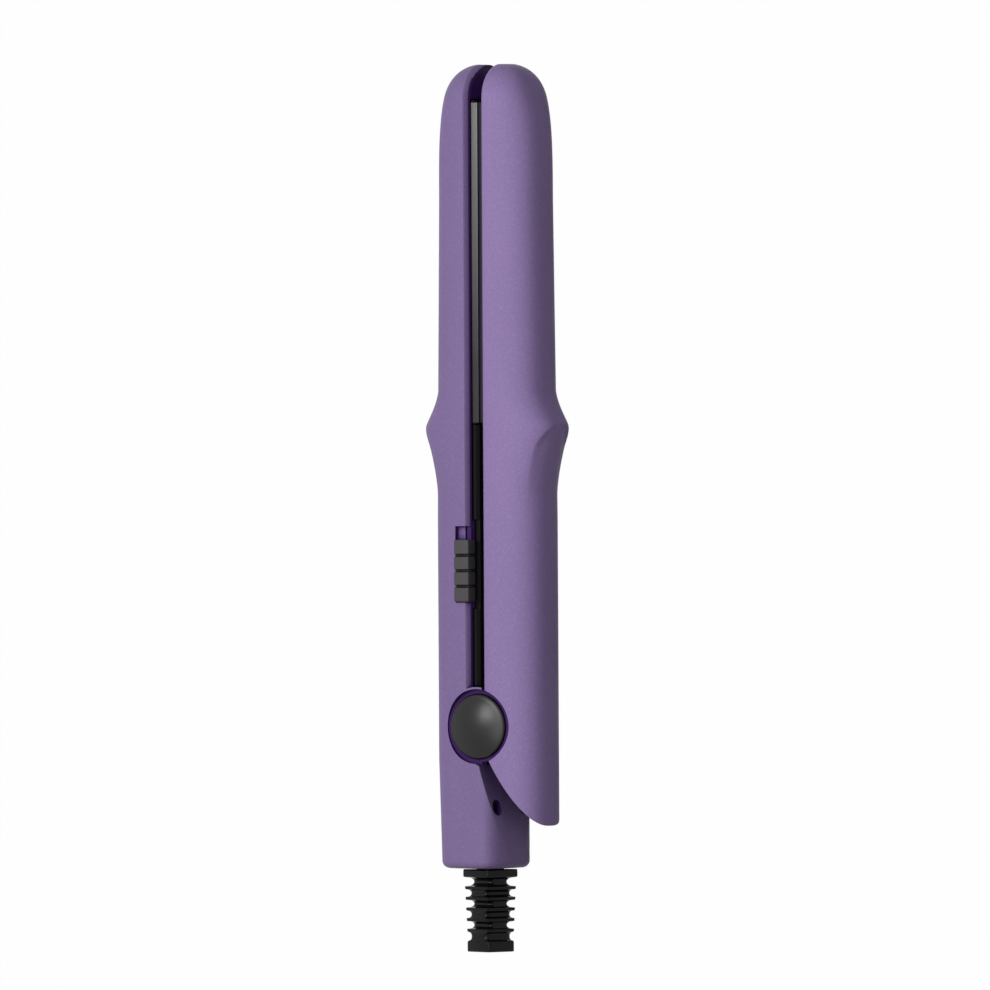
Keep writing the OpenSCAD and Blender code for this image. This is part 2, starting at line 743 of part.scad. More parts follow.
module switch_knob() {
    z0 = track_z + 0.1;
    top = half_w + knob_rise;
    y0 = knob_y - knob_l / 2;
    color(dark_c) lift() back() {
        difference() {
            along_y(y0, knob_l) polygon([
                [knob_in, z0 - 1.1], [half_seam - 0.1, z0 - 1.1], [half_seam - 0.1, z0],
                [knob_in + knob_w, z0], [knob_in + knob_w, top - 0.5],
                [knob_in + knob_w - 0.5, top], [knob_in + 0.5, top],
                [knob_in, top - 0.5]]);
            for (i = [1:grooves])
                translate([-9, y0 + knob_l * i / (grooves + 1) - 0.6, top - 0.7])
                    cube([30, 1.2, 5]);
        }
        translate([stem_x - stem_w / 2, knob_y - stem_l / 2, board_z + board_t + can_h + 0.3])
            cube([stem_w, stem_l, z0 + 0.2 - board_z - board_t - can_h - 0.3]);
    }
}

module switch_body() {
    z0 = board_z + board_t;
    color(steel_c) lift() back() difference() {
        translate([board_in + 0.1, knob_y + knob_travel / 2 - can_l / 2, z0])
            cube([can_w, can_l, can_h]);
        translate([stem_x - stem_w / 2 - part_c, knob_y - stem_l / 2 - 0.6, z0 + can_h - 1.2])
            cube([stem_w + 2 * part_c, stem_l + knob_travel + 1.2, 3]);
    }
}

module circuit_board() {
    z0 = board_z + board_t;
    color("#1f6b45") lift() back() {
        difference() {
            translate([board_in, board_y, board_z]) cube([board_w, board_l, board_t]);
            for (y = [post_near, post_far]) translate([post_x, y, -5])
                cylinder(r = shank_d / 2 + 0.15, h = 10);
        }
        // Film capacitor, triac, resistor and terminal posts
        translate([board_in + can_w + 0.6, knob_y - 10.5, z0]) cube([film_w, film_l, film_h]);
        translate([board_in + can_w + 0.6, knob_y + 3.5, z0]) cube([triac_w, triac_l, triac_h]);
        translate([board_in + 2.2, knob_y + 11, z0 + 0.9]) rotate([-90, 0, 0])
            cylinder(r = resistor_d / 2, h = resistor_l);
        for (i = [0:2])
            translate([board_in + 6 + terminal_pitch * i, post_near + 3.6, z0])
                cylinder(r = terminal_d / 2, h = terminal_h);
    }
}
module board_screws() {
    color(steel_c) lift() back() for (y = [post_near, post_far])
        translate([post_x, y, board_z + board_t]) rotate([0, 90, 0]) screw(board_screw_l);
}

// ---- Tail -------------------------------------------------------------------

module cord_clamp() {
    color(dark_c) lift() back() difference() {
        union() {
            translate([clamp_back, clamp_y - bar_w / 2, -bar_l / 2])
                cube([bar_t, bar_w, bar_l]);
            translate([clamp_back - tooth_t, clamp_y - tooth_t, -tooth_l / 2])
                cube([2 * tooth_t, 2 * tooth_t, tooth_l]);
            both_sides() rod(clamp_in, clamp_y, clamp_z, foot_r,
                clamp_back + bar_t / 2 - clamp_in);
        }
        both_sides() rod(-5, clamp_y, clamp_z, shank_d / 2, 20);
    }
}
module clamp_screws() {
    color(steel_c) lift() back() both_sides()
        translate([-0.9, clamp_y, clamp_z]) screw(clamp_screw_l);
}

// Square fishbone sleeve: plates joined by bridges that change sides level by level
module strain_relief() {
    free = relief_l - collar_t - end_t;
    pitch = free / (ribs + 1);
    rib_t = 1.3;
    bridge = cord_d + 1.5;
    function width(d) = relief_w + (relief_end_w - relief_w) * d / relief_l;
    y0 = -tail_l - 0.3;
    color(dark_c) lift() translate([-relief_x, y0, 0]) rotate([0, relief_turn, 0])
    difference() {
        union() {
            along_y(-collar_t, collar_t) polygon(rounded(relief_w, relief_w, 1));
            for (i = [1:ribs]) let (d = collar_t + pitch * i)
                along_y(-d - rib_t / 2, rib_t) polygon(rounded(width(d), width(d), 1));
            along_y(-relief_l, end_t)
                polygon(rounded(relief_end_w, relief_end_w, 1));
            for (i = [0:ribs]) let (d = collar_t + pitch * (i + 0.5), w = width(d) - 0.4)
                along_y(-d - pitch / 2, pitch) rotate(i % 2 == 0 ? 0 : 90)
                    polygon(rounded(w, bridge, 0.8));
            // Swivelling neck and the flange that keeps it in the housing
            rotate([-90, 0, 0]) cylinder(r = neck_d / 2, h = bottom_t + 0.6);
            translate([0, bottom_t + 0.4, 0]) rotate([-90, 0, 0])
                cylinder(r = flange_r, h = flange_t);
        }
        translate([0, -relief_l - 1, 0]) rotate([-90, 0, 0])
            cylinder(r = cord_d / 2, h = relief_l + 20);
    }
}

main_shell();
lever_shell();
main_cover();
lever_cover();
main_holder();
lever_holder();
main_plate();
lever_plate();
main_heater();
lever_heater();
main_clip();
lever_clip();
main_pads();
lever_pads();
main_screws();
lever_screws();
hinge_pin();
hinge_cap_upper();
hinge_cap_lower();
hinge_washers();
hinge_sleeve();
circuit_board();
board_screws();
switch_body();
switch_knob();
cord_clamp();
clamp_screws();
strain_relief();
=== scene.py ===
"""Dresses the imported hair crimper: moulded shells, hinge caps, knob, plates and cord sleeve.

Lengths are in metres. X is the opening direction, Y runs from the hinge to the tip and Z is
the hinge axis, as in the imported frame.
"""

import json
import math

import bmesh
import bpy
from mathutils import Matrix, Vector

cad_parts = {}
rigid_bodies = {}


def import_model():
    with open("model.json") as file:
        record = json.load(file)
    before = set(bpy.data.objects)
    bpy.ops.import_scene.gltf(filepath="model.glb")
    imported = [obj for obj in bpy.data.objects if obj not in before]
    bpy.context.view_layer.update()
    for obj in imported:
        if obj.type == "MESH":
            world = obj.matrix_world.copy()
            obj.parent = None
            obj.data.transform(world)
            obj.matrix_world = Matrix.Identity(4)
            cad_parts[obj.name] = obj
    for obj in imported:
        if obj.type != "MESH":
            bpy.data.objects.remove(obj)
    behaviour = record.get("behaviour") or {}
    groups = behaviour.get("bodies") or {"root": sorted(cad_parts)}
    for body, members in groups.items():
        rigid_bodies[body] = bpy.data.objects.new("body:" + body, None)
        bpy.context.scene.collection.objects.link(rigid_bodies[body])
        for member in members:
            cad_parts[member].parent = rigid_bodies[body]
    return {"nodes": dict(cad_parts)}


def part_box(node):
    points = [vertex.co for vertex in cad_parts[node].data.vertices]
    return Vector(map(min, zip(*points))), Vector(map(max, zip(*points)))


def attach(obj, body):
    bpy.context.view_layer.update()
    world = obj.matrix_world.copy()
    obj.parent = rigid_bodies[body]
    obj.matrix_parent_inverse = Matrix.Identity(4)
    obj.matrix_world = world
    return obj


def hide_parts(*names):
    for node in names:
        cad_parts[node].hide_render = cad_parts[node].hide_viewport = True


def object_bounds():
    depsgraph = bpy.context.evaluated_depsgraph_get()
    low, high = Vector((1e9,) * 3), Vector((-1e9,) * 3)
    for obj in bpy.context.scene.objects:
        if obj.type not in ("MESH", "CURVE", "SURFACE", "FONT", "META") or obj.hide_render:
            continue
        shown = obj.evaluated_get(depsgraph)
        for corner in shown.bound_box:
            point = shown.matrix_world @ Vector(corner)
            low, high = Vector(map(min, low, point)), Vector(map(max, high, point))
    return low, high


bl_info = {
    "name": "Hair crimper dressing",
    "version": (1, 0, 0),
    "blender": (4, 5, 0),
    "location": "View3D > Sidebar > Crimper",
    "description": "Builds the visible pieces of a slim hair crimper around its packed frame",
    "category": "Object",
}

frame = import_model()
CAD_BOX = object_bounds()

MM = 0.001
MID_Z = (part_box("hinge_cap_upper")[1].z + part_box("hinge_cap_lower")[0].z) / 2
TIP_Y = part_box("main_shell")[1].y
TAIL_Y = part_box("main_shell")[0].y
LEVER_TAIL_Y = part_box("lever_shell")[0].y
HALF_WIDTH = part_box("main_shell")[1].z - MID_Z
HAIR = 0.05 * MM  # too small to see
BEYOND = 20 * MM  # outside every face of the arms, from the middle plane


# ---- Sizes and colours that a user would change ----------------------------------------


def length(name, description, millimetres):
    """A length property with its default in millimetres."""
    return bpy.props.FloatProperty(
        name=name,
        description=description,
        default=millimetres * MM,
        min=0.0,
        precision=5,
        unit="LENGTH",
        subtype="DISTANCE",
    )


def colour(name, description, red, green, blue):
    """A colour property with its default as linear red, green and blue."""
    return bpy.props.FloatVectorProperty(
        name=name,
        description=description,
        default=(red, green, blue),
        min=0.0,
        max=1.0,
        size=3,
        subtype="COLOR",
    )


def share(name, description, value, highest=1.0):
    """A plain number property."""
    return bpy.props.FloatProperty(
        name=name, description=description, default=value, min=0.0, max=highest
    )


def degrees(name, description, value):
    """An angle property with its default in degrees."""
    return bpy.props.FloatProperty(
        name=name, description=description, default=math.radians(value), subtype="ANGLE"
    )


def whole(name, description, value, lowest, highest):
    """A whole number property."""
    return bpy.props.IntProperty(
        name=name, description=description, default=value, min=lowest, max=highest
    )


class CrimperArmForm(bpy.types.PropertyGroup):
    """The outer form of the two moulded arms."""

    barrel_t: length("Barrel", "Half thickness at the tip end of the barrel", 14.6)
    grip_t: length("Grip", "Half thickness at the hinge", 15.6)
    squareness: share("Squareness", "Power of the cross-section, 2 being an ellipse", 2.8, 6.0)
    wall: length("Wall", "Thickness of the moulded wall", 1.8)
    seam_gap: length("Seam gap", "Gap between the two arms", 4.1)
    seam_r: length("Seam rounding", "Rounding of the lever's seam edges", 1.2)
    bevel_w: length("Bevel", "Width of the bevel along the housing's seam edges", 1.1)
    bevel_h: length("Bevel depth", "Depth of that bevel", 1.9)
    nose_l: length("Nose", "Length over which the tip rounds off in thickness", 34.0)
    nose_w_l: length("Nose in width", "Length over which the tip rounds off in width", 9.0)
    flare_y: length("Finger stop", "Hinge axis to the crest of the flare", 74.2)
    flare_h: length("Flare height", "Height of the crest above the barrel", 4.03)
    flare_tip_l: length("Flare to the tip", "Length of the slope toward the tip", 9.5)
    flare_grip_l: length("Flare to the hinge", "Length of the slope toward the hinge", 17.0)
    scoop_h: length("Scoop", "Depth of the thumb scoop", 0.9)
    scoop_w: length("Scoop width", "Width of the thumb scoop", 13.0)
    tail_back_t: length("Tail back", "Half thickness of the tail at its bottom", 14.7)
    tail_in_t: length("Tail front", "Thickness of the tail in front of the seam plane", 4.75)
    slant_x: length("Slant start", "Where the slanted face starts, from the seam plane", 0.75)
    slant_y: length("Slant drop", "Where the slanted face starts, below the hinge axis", 9.7)
    slant_l: length("Slant length", "Length over which the slanted face swings out", 23.0)
    # Housing and Lever are one purple as a shaded and a lit copy: painted shade darkens the
    # housing's, painted light lightens the lever's.
    housing_shade: colour("Housing", "Purple of the housing's plastic", 0.236, 0.168, 0.350)
    lever_shade: colour("Lever", "Purple of the lever's plastic", 0.292, 0.207, 0.431)
    # Deep and Inside are painted shade: Deep is mixed into the arms' colour where they lie between
    # other faces, Inside colours the faces in the seam, the knob's track and the caps' grooves.
    deep: colour("Deep", "Purple of the plastic inside narrow gaps", 0.045, 0.014, 0.105)
    inside: colour("Inside", "Dark purple of the seam and the grooves", 0.055, 0.022, 0.105)


class CrimperHingeForm(bpy.types.PropertyGroup):
    """The round caps over the hinge."""

    dome: length("Dome", "Fall of the cap's face from its middle to its edge", 1.2)
    edge_r: length("Edge", "Rounding of the cap's edge", 0.9)
    groove: length("Groove", "Width of the groove round a cap", 1.1)
    ear_gap: length("Ear gap", "Gap between the housing's ears and the groove's wall", 0.4)
    seat: length("Seat", "Thickness of a cap from its seat to the middle of its face", 2.3)
    cap_black: colour("Cap", "Satin black of the caps", 0.005, 0.0045, 0.005)


class CrimperPlateForm(bpy.types.PropertyGroup):
    """The corrugated plates."""

    waves: whole("Waves", "Crimping waves across a plate", 5, 1, 8)
    wave_h: length("Wave height", "Height of a crimping wave", 1.5)
    gap: length("Gap", "Gap between the closed plates", 0.3)
    plate_t: length("Thickness", "Mean thickness of the plate's face", 3.4)
    # The second colour of each plate is a painted reflection: the darker colour its metal fades to
    # toward the hinge.
    bright: colour("Bright plate", "Bare metal of the housing's plate", 0.115, 0.113, 0.114)
    bright_tint: colour("Bright tint", "Tint that heat leaves on it", 0.038, 0.036, 0.039)
    dark: colour("Dark plate", "Coated metal of the lever's plate", 0.050, 0.047, 0.055)
    dark_tint: colour("Dark tint", "Tint that heat leaves on it", 0.050, 0.046, 0.056)


class CrimperKnobForm(bpy.types.PropertyGroup):
    """The slide switch's knob."""

    grooves: whole("Grooves", "Grip grooves across the knob", 3, 0, 6)
    groove_w: length("Groove width", "Width of a grip groove", 0.8)
    groove_h: length("Groove depth", "Depth of a grip groove", 0.8)
    edge_r: length("Edge", "Rounding of the knob's edges", 0.35)
    lip_h: length("Lip", "Depth of the lip that hangs in the seam", 1.1)
    knob_black: colour("Knob", "Dark grey of the knob", 0.088, 0.084, 0.088)


class CrimperSleeveForm(bpy.types.PropertyGroup):
    """The square cord sleeve with its slots."""

    collar_w: length("Collar", "Width of the square collar", 9.9)
    end_w: length("End", "Width of the far end", 8.5)
    corner_r: length("Corners", "Rounding of the square's corners", 0.5)
    deep_x: length("Deep waist across", "Width of the deeper waists toward the lever", 7.4)
    deep_z: length("Deep waist", "Width of the deeper waists along the hinge axis", 5.8)
    flat_x: length("Flat waist across", "Width of the flatter waists toward the lever", 6.6)
    flat_z: length("Flat waist", "Width of the flatter waists along the hinge axis", 8.2)
    waist_r: length("Waist corners", "Rounding of the waists' corners", 1.3)
    cord_d: length("Cord bore", "Bore for the cord", 5.2)
    collar_t: length("Collar thickness", "Thickness of the collar", 2.0)
    end_t: length("End thickness", "Thickness of the far end", 2.7)
    rib_t: length("Rib thickness", "Thickness of a rib at its edge", 0.7)
    free_l: length("Free length", "Length outside the housing", 20.6)
    neck_d: length("Neck", "Diameter of the swivelling neck", 7.0)
    flange_d: length("Flange", "Diameter of the flange inside the housing", 10.0)
    flange_t: length("Flange thickness", "Thickness of that flange", 1.5)
    edge_r: length("Edges", "Rounding of the ribs", 0.3)
    turn: degrees("Turn", "Turn of the sleeve about its own axis", -15)
    ribs: whole("Ribs", "Ribs between the collar and the end", 5, 1, 9)
    rubber: colour("Rubber", "Black of the sleeve", 0.0025, 0.0025, 0.003)


class CrimperStageLook(bpy.types.PropertyGroup):
    """Camera, floor and lamps."""

    swing: degrees("Swing", "Angle of the camera from the hinge axis toward the lever", 35.5)
    roll: degrees("Roll", "Roll of the camera about its line of sight", 0.314)
    distance: length("Distance", "Camera to the hinge plane", 3000)
    picture: length("Picture", "Height of the picture at the object", 246.6)
    aim_y: length("Aim", "Hinge axis to the middle of the picture", 57.5)
    aim_left: length("Aim aside", "Middle of the picture left of the hinge axis", 0.65)
    floor_white: share("Floor", "How far the floor shows plain white", 0.99)
    key_power: share("Key lamp", "Power of the large lamp", 3.5, 100.0)
    key_swing: degrees("Key swing", "Large lamp from the hinge axis toward the lever", 11.5)
    key_distance: length("Key distance", "Large lamp to the tool", 700)
    key_y: length("Key shift", "Large lamp toward the tip, from the picture's middle", 100)
    key_w: length("Key width", "Width of the large lamp across the tool", 500)
    key_l: length("Key length", "Length of the large lamp along the tool", 800)
    side_power: share("Side lamp", "Power of the small lamp", 3.0, 100.0)
    side_swing: degrees("Side swing", "Small lamp from the hinge axis toward the lever", -18)
    side_distance: length("Side distance", "Small lamp to the tool", 1000)
    side_y: length("Side shift", "Small lamp toward the tip, from the picture's middle", 200)
    side_w: length("Side size", "Width and length of the small lamp", 260)
    fill: share("Fill", "Strength of the light from all round", 0.095, 2.0)


# ---- Curves ----------------------------------------------------------------------------


def unit(value):
    """The value held between 0 and 1."""
    return max(0.0, min(1.0, value))


def blend(low, high, part):
    """The value at a share of the way from low to high."""
    return low + (high - low) * part


def power(value, exponent):
    """A power that keeps the sign."""
    return math.copysign(abs(value) ** exponent, value)


def spread(low, high, count):
    """count + 1 values from low to high."""
    return [blend(low, high, i / count) for i in range(count + 1)]


class ArmCurves:
    """The arms' outline as functions of the place along Y."""

    NOSE_POWER = 3.4
    NOSE_W_POWER = 2.1
    NOSE_OVER = 0.35 * MM  # how far the nose's curve would run past the tip
    RIM_R = 1.8 * MM
    RIM_TURN = 0.98  # how much of the rim's quarter round is there
    FLARE_POWER = 1.55
    FLARE_SOFT = 0.12  # softness of the crest, as a share of a slope
    FLARE_REST = 0.8872  # what that softness leaves of the slope
    TAPER_START = 8 * MM  # from the hinge axis down the tail
    TAPER_SHORT = 10 * MM  # how much shorter than the tail its taper is
    SCOOP_RISE = 0.8 * MM  # top of the scoop above the flare's crest
    SCOOP_EVEN = 4 * MM
    SCOOP_SHORT = 1 * MM
    SCOOP_SIDE = 2.6 * MM
    SCOOP_TOP = 3.6 * MM
    BEVEL_POWER = 1.7
    SEAM_SHARE = 0.35  # the most of a thin end that the seam's edge may take

    def __init__(self, form):
        self.form = form
        self.half_seam = form.seam_gap / 2
        self.housing_seam = (form.bevel_w, form.bevel_h, self.BEVEL_POWER)
        self.lever_seam = (form.seam_r, form.seam_r, 1)

    def past_slant(self, y):
        """Whether the tail closes over its slanted face here."""
        return y <= -self.form.slant_y + 1e-9

    def nose(self, y, reach, exponent):
        """A quarter of a superellipse: 1 where the nose begins, falling to 0."""
        along = unit((y - TIP_Y - self.NOSE_OVER + reach) / reach)
        return (1 - along**exponent) ** (1 / exponent)

    def thickness(self, y):
        """Half thickness of the closed arms, without the flare: even, then tapered."""
        form = self.form
        grip_end = form.flare_y - form.flare_grip_l
        barrel = TIP_Y - form.nose_l - grip_end
        taper = blend(form.grip_t, form.barrel_t, unit((y - grip_end) / barrel))
        return taper * self.nose(y, form.nose_l, self.NOSE_POWER)

    def width(self, y):
        return HALF_WIDTH * self.nose(y, self.form.nose_w_l, self.NOSE_W_POWER)

    def flare(self, y):
        """The crest of the finger stop: a soft top and a hollow foot."""
        form = self.form
        reach = form.flare_tip_l if y > form.flare_y else form.flare_grip_l
        far = abs(y - form.flare_y) / reach
        soft = (math.hypot(far, self.FLARE_SOFT) - self.FLARE_SOFT) / self.FLARE_REST
        return form.flare_h * (1 - unit(soft)) ** self.FLARE_POWER

    def rim(self, y):
        """How far the tail's bottom rim is rounded in."""
        deep = unit(1 - (y - TAIL_Y) / self.RIM_R)
        return self.RIM_R * (1 - math.sqrt(1 - deep * deep * self.RIM_TURN))

    def tail_thickness(self, y):
        form = self.form
        part = unit((-y - self.TAPER_START) / (-TAIL_Y - self.TAPER_SHORT))
        return blend(form.grip_t, form.tail_back_t, part)

    def slant(self, y):
        """Distance of the tail's slanted face in front of the seam plane."""
        form = self.form
        swing = math.sin(math.pi / 2 * unit((-form.slant_y - y) / form.slant_l))
        return form.slant_x + (form.tail_in_t - form.slant_x) * swing

    def scoop(self, y, z):
        """How far the thumb scoop is sunk at height z above the middle."""
        form = self.form
        below = form.flare_y + self.SCOOP_RISE - y
        if below <= 0:
            return 0.0
        radius = form.scoop_w / 2
        half = radius
        if below < radius:
            half = math.sqrt(radius**2 - (radius - below) ** 2)
        inside = half - abs(z)
        if inside <= 0:
            return 0.0
        fade = unit(1 - (below - self.SCOOP_EVEN) / (form.flare_grip_l - self.SCOOP_SHORT))
        step = min(1.0, inside / self.SCOOP_SIDE, below / self.SCOOP_TOP)
        return form.scoop_h * fade * step * (2 - step)

    def side(self, x, half_t, half_w):
        """Height of the side wall at distance x from the seam plane."""
        n = self.form.squareness
        return half_w * max(0.0, 1 - unit(abs(x) / half_t) ** n) ** (1 / n)

    def section(self, half_t, half_w, edge, seam, front, edge_steps, crown_steps):
        """A closed outline: seam edge, crowned outside, seam edge.

        The seam edge has a width, a depth and a power, 1 being round and 2 a flat bevel.
        With its edge past the seam plane the outline closes over a second quarter, front deep.
        """
        n = self.form.squareness
        points = []
        over = edge < -HAIR
        wide = min(seam[0], self.SEAM_SHARE * (half_t - edge))
        deep = seam[1] * wide / seam[0]
        rest = 0.0 if over else ((edge + wide) / half_t) ** (n / 2)
        full = math.acos(rest)

        def edge_point(part):
            if over:
                angle = math.asin((-edge / front) ** (n / 2)) * part
                x = -front * math.sin(angle) ** (2 / n)
                return x, half_w * math.cos(angle) ** (2 / n)
            angle = math.pi / 2 * part
            x = edge + wide - wide * math.sin(angle) ** seam[2]
            foot = self.side(edge + wide, half_t, half_w) - deep
            return x, foot + deep * max(0.0, math.cos(angle)) ** seam[2]

        for j in range(edge_steps, 0, -1):
            x, z = edge_point(j / edge_steps)
            points.append((x, -z))
        for i in range(crown_steps + 1):
            angle = full * (-1 + 2 * i / crown_steps)
            x = half_t * math.cos(angle) ** (2 / n)
            points.append((x, half_w * power(math.sin(angle), 2 / n)))
        for j in range(1, edge_steps + 1):
            points.append(edge_point(j / edge_steps))
        return points


# ---- Meshes ----------------------------------------------------------------------------


def new_mesh(name, points, faces):
    mesh = bpy.data.meshes.new(name)
    mesh.from_pydata(points, [], faces)
    mesh.update()
    return mesh


def loft(name, rings, closed_ends=True):
    """A skin over rings that all have the same number of points."""
    count = len(rings[0])
    faces = []
    for i in range(len(rings) - 1):
        for j in range(count):
            low = i * count
            high = low + count
            after = (j + 1) % count
            faces.append((low + j, low + after, high + after, high + j))
    if closed_ends:
        last = (len(rings) - 1) * count
        faces.append(tuple(range(count - 1, -1, -1)))
        faces.append(tuple(range(last, last + count)))
    points = [point for ring in rings for point in ring]
    return new_mesh(name, points, faces)


def tube(name, rings):
    """A skin over rings whose last ring joins the first, as round a hole."""
    return loft(name, rings + [rings[0]], closed_ends=False)


def circle_points(radius, steps):
    turns = [2 * math.pi * k / steps for k in range(steps)]
    return [(radius * math.cos(turn), radius * math.sin(turn)) for turn in turns]


def turned(name, profile, steps=96):
    """A solid turned about Z from (radius, height) points, the first and last on the axis."""
    rings = []
    for radius, height in profile[1:-1]:
        rings.append([(x, y, height) for x, y in circle_points(radius, steps)])
    return loft(name, rings)


def prism(name, outline, low, high, axis="Z"):
    """An outline pushed along an axis: (x, y) along Z, (x, z) along Y or (y, z) along X."""
    place = {
        "Z": lambda a, b, c: (a, b, c),
        "Y": lambda a, b, c: (a, c, b),
        "X": lambda a, b, c: (c, a, b),
    }[axis]
    return loft(name, [[place(a, b, c) for a, b in outline] for c in (low, high)])


def box_solid(name, low, high):
    outline = [(low[0], low[1]), (high[0], low[1]), (high[0], high[1]), (low[0], high[1])]
    return prism(name, outline, low[2], high[2])


def quadratic(start, bend, end, part):
    """A point on a quadratic Bezier curve."""
    return start * (1 - part) ** 2 + bend * 2 * part * (1 - part) + end * part**2


def rounded_corners(corners, radius, steps=4):
    """A convex outline with each corner rounded off."""
    points = []
    count = len(corners)
    for i, corner in enumerate(corners):
        here = Vector(corner)
        before = Vector(corners[i - 1]) - here
        after = Vector(corners[(i + 1) % count]) - here
        reach = min(radius, before.length * 0.45, after.length * 0.45)
        start = here + before.normalized() * reach
        end = here + after.normalized() * reach
        for k in range(steps + 1):
            bend = quadratic(start, here, end, k / steps)
            points.append((bend.x, bend.y))
    return points


def mirrored(mesh, axis):
    """The mesh mirrored in place across X = 0 or Z = the middle plane."""
    flip = Matrix.Scale(-1, 4, Vector((1, 0, 0)) if axis == "X" else Vector((0, 0, 1)))
    mesh.transform(flip)
    mesh.flip_normals()
    mesh.update()
    return mesh


def outward(mesh):
    """Turns every face of a closed mesh outward."""
    work = bmesh.new()
    work.from_mesh(mesh)
    bmesh.ops.recalc_face_normals(work, faces=work.faces)
    work.to_mesh(mesh)
    work.free()
    mesh.update()
    return mesh


def combined(base, others, operation):
    """The base mesh with the other meshes joined to it or cut from it."""
    scene = bpy.context.scene
    holder = bpy.data.collections.new("work")
    scene.collection.children.link(holder)
    target = bpy.data.objects.new("target", outward(base))
    scene.collection.objects.link(target)
    for mesh in others:
        holder.objects.link(bpy.data.objects.new("tool", outward(mesh)))
    step = target.modifiers.new("step", "BOOLEAN")
    step.operation = operation
    step.operand_type = "COLLECTION"
    step.collection = holder
    step.solver = "EXACT"
    graph = bpy.context.evaluated_depsgraph_get()
    result = bpy.data.meshes.new_from_object(target.evaluated_get(graph))
    for piece in list(holder.objects):
        bpy.data.objects.remove(piece)
    bpy.data.collections.remove(holder)
    bpy.data.objects.remove(target)
    if not result.polygons:
        raise RuntimeError(f"{base.name}: the {operation.lower()} left nothing")
    return result


def add_piece(name, mesh, body, finish, node, slot, sharp, aside=0.0):
    """A finished piece in the scene, raised to the hinge's middle and riding on its body.

    Edges that turn by more than the sharp angle, in degrees, stay sharp.
    """
    mesh.transform(Matrix.Translation((aside, 0, MID_Z)))
    mesh.shade_smooth()
    mesh.set_sharp_from_angle(angle=math.radians(sharp))
    mesh.name = name
    mesh.materials.clear()
    mesh.materials.append(finish)
    piece = bpy.data.objects.new(name, mesh)
    bpy.context.scene.collection.objects.link(piece)
    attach(piece, body)
    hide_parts(node)
    return piece


# ---- Shader groups ---------------------------------------------------------------------


def feed(tree, socket, value):
    """Set an input, or link it where the value is another node's output."""
    if isinstance(value, bpy.types.NodeSocket):
        tree.links.new(value, socket)
    else:
        socket.default_value = value


def place(tree, kind, inputs=None, **settings):
    """A node with its settings, and its inputs set or linked by their name or number."""
    node = tree.nodes.new(kind)
    for key, value in settings.items():
        setattr(node, key, value)
    for key, value in (inputs or {}).items():
        feed(tree, node.inputs[key], value)
    return node


def maths(tree, operation, first, second):
    """The result of a sum on two values or outputs."""
    return place(tree, "ShaderNodeMath", {0: first, 1: second}, operation=operation).outputs[0]


def from_range(tree, value, low, high, to_low=0.0, to_high=1.0, **settings):
    """The value carried over from one range to another."""
    inputs = {"Value": value, "From Min": low, "From Max": high}
    inputs.update({"To Min": to_low, "To Max": to_high})
    return place(tree, "ShaderNodeMapRange", inputs, **settings).outputs["Result"]


def about(tree, middle, swing, value, low, high):
    """The middle, give or take the swing while the value goes from low to high."""
    part = from_range(tree, value, low, high, -1.0, 1.0)
    return maths(tree, "ADD", maths(tree, "MULTIPLY", part, swing), middle)


def mixed(tree, factor, first, second):
    """One colour blended into another."""
    inputs = {"Factor": factor, "A": first, "B": second}
    return place(tree, "ShaderNodeMix", inputs, data_type="RGBA").outputs["Result"]


def own_place(tree):
    """The place on the piece, in metres."""
    return place(tree, "ShaderNodeTexCoord").outputs["Object"]


def stretched(tree, vector, along):
    """A texture's place, with its pattern drawn out along Y where along is under 1."""
    inputs = {"Vector": vector, "Scale": (1.0, along, 1.0)}
    return place(tree, "ShaderNodeMapping", inputs).outputs["Vector"]


def noise(tree, vector, scale, detail):
    inputs = {"Vector": vector, "Scale": scale, "Detail": detail}
    return place(tree, "ShaderNodeTexNoise", inputs).outputs["Fac"]


def shader_group(name, inputs, outputs):
    """A new node group, the outputs of its entry and the tree's end node.

    A value's default is a number, and a colour's is red, green, blue and alpha.
    """
    group = bpy.data.node_groups.new(name, "ShaderNodeTree")
    for label, default in inputs.items():
        kind = "NodeSocketColor" if isinstance(default, tuple) else "NodeSocketFloat"
        socket = group.interface.new_socket(label, in_out="INPUT", socket_type=kind)
        socket.default_value = default
    for label in outputs:
        kind = "NodeSocketColor" if label == "Colour" else "NodeSocketFloat"
        group.interface.new_socket(label, in_out="OUTPUT", socket_type=kind)
    return group, group.nodes.new("NodeGroupInput").outputs, group.nodes.new("NodeGroupOutput")


def pearl_group():
    """Colour of pearly plastic: slow flow marks and a fine flake."""
    group, entry, end = shader_group(
        "Pearl flow",
        {
            "Colour": (0.3, 0.2, 0.4, 1),
            "Flake Colour": (0.5, 0.4, 0.6, 1),
            "Flake Amount": 0.2,
            "Flow Amount": 0.1,
        },
        ["Colour"],
    )
    where = own_place(group)
    specks = place(group, "ShaderNodeTexVoronoi", {"Vector": where, "Scale": 2600.0})
    bright = from_range(group, specks.outputs["Color"], 0.55, 1.0)
    flake = maths(group, "MULTIPLY", bright, entry["Flake Amount"])
    colour = mixed(group, flake, entry["Colour"], entry["Flake Colour"])
    marks = noise(group, stretched(group, where, 0.25), 70.0, 3.0)
    flow = about(group, 1.0, entry["Flow Amount"], marks, 0.3, 0.7)
    shade = place(group, "ShaderNodeVectorMath", {0: colour}, operation="SCALE")
    feed(group, shade.inputs["Scale"], flow)
    feed(group, end.inputs["Colour"], shade.outputs["Vector"])
    return group


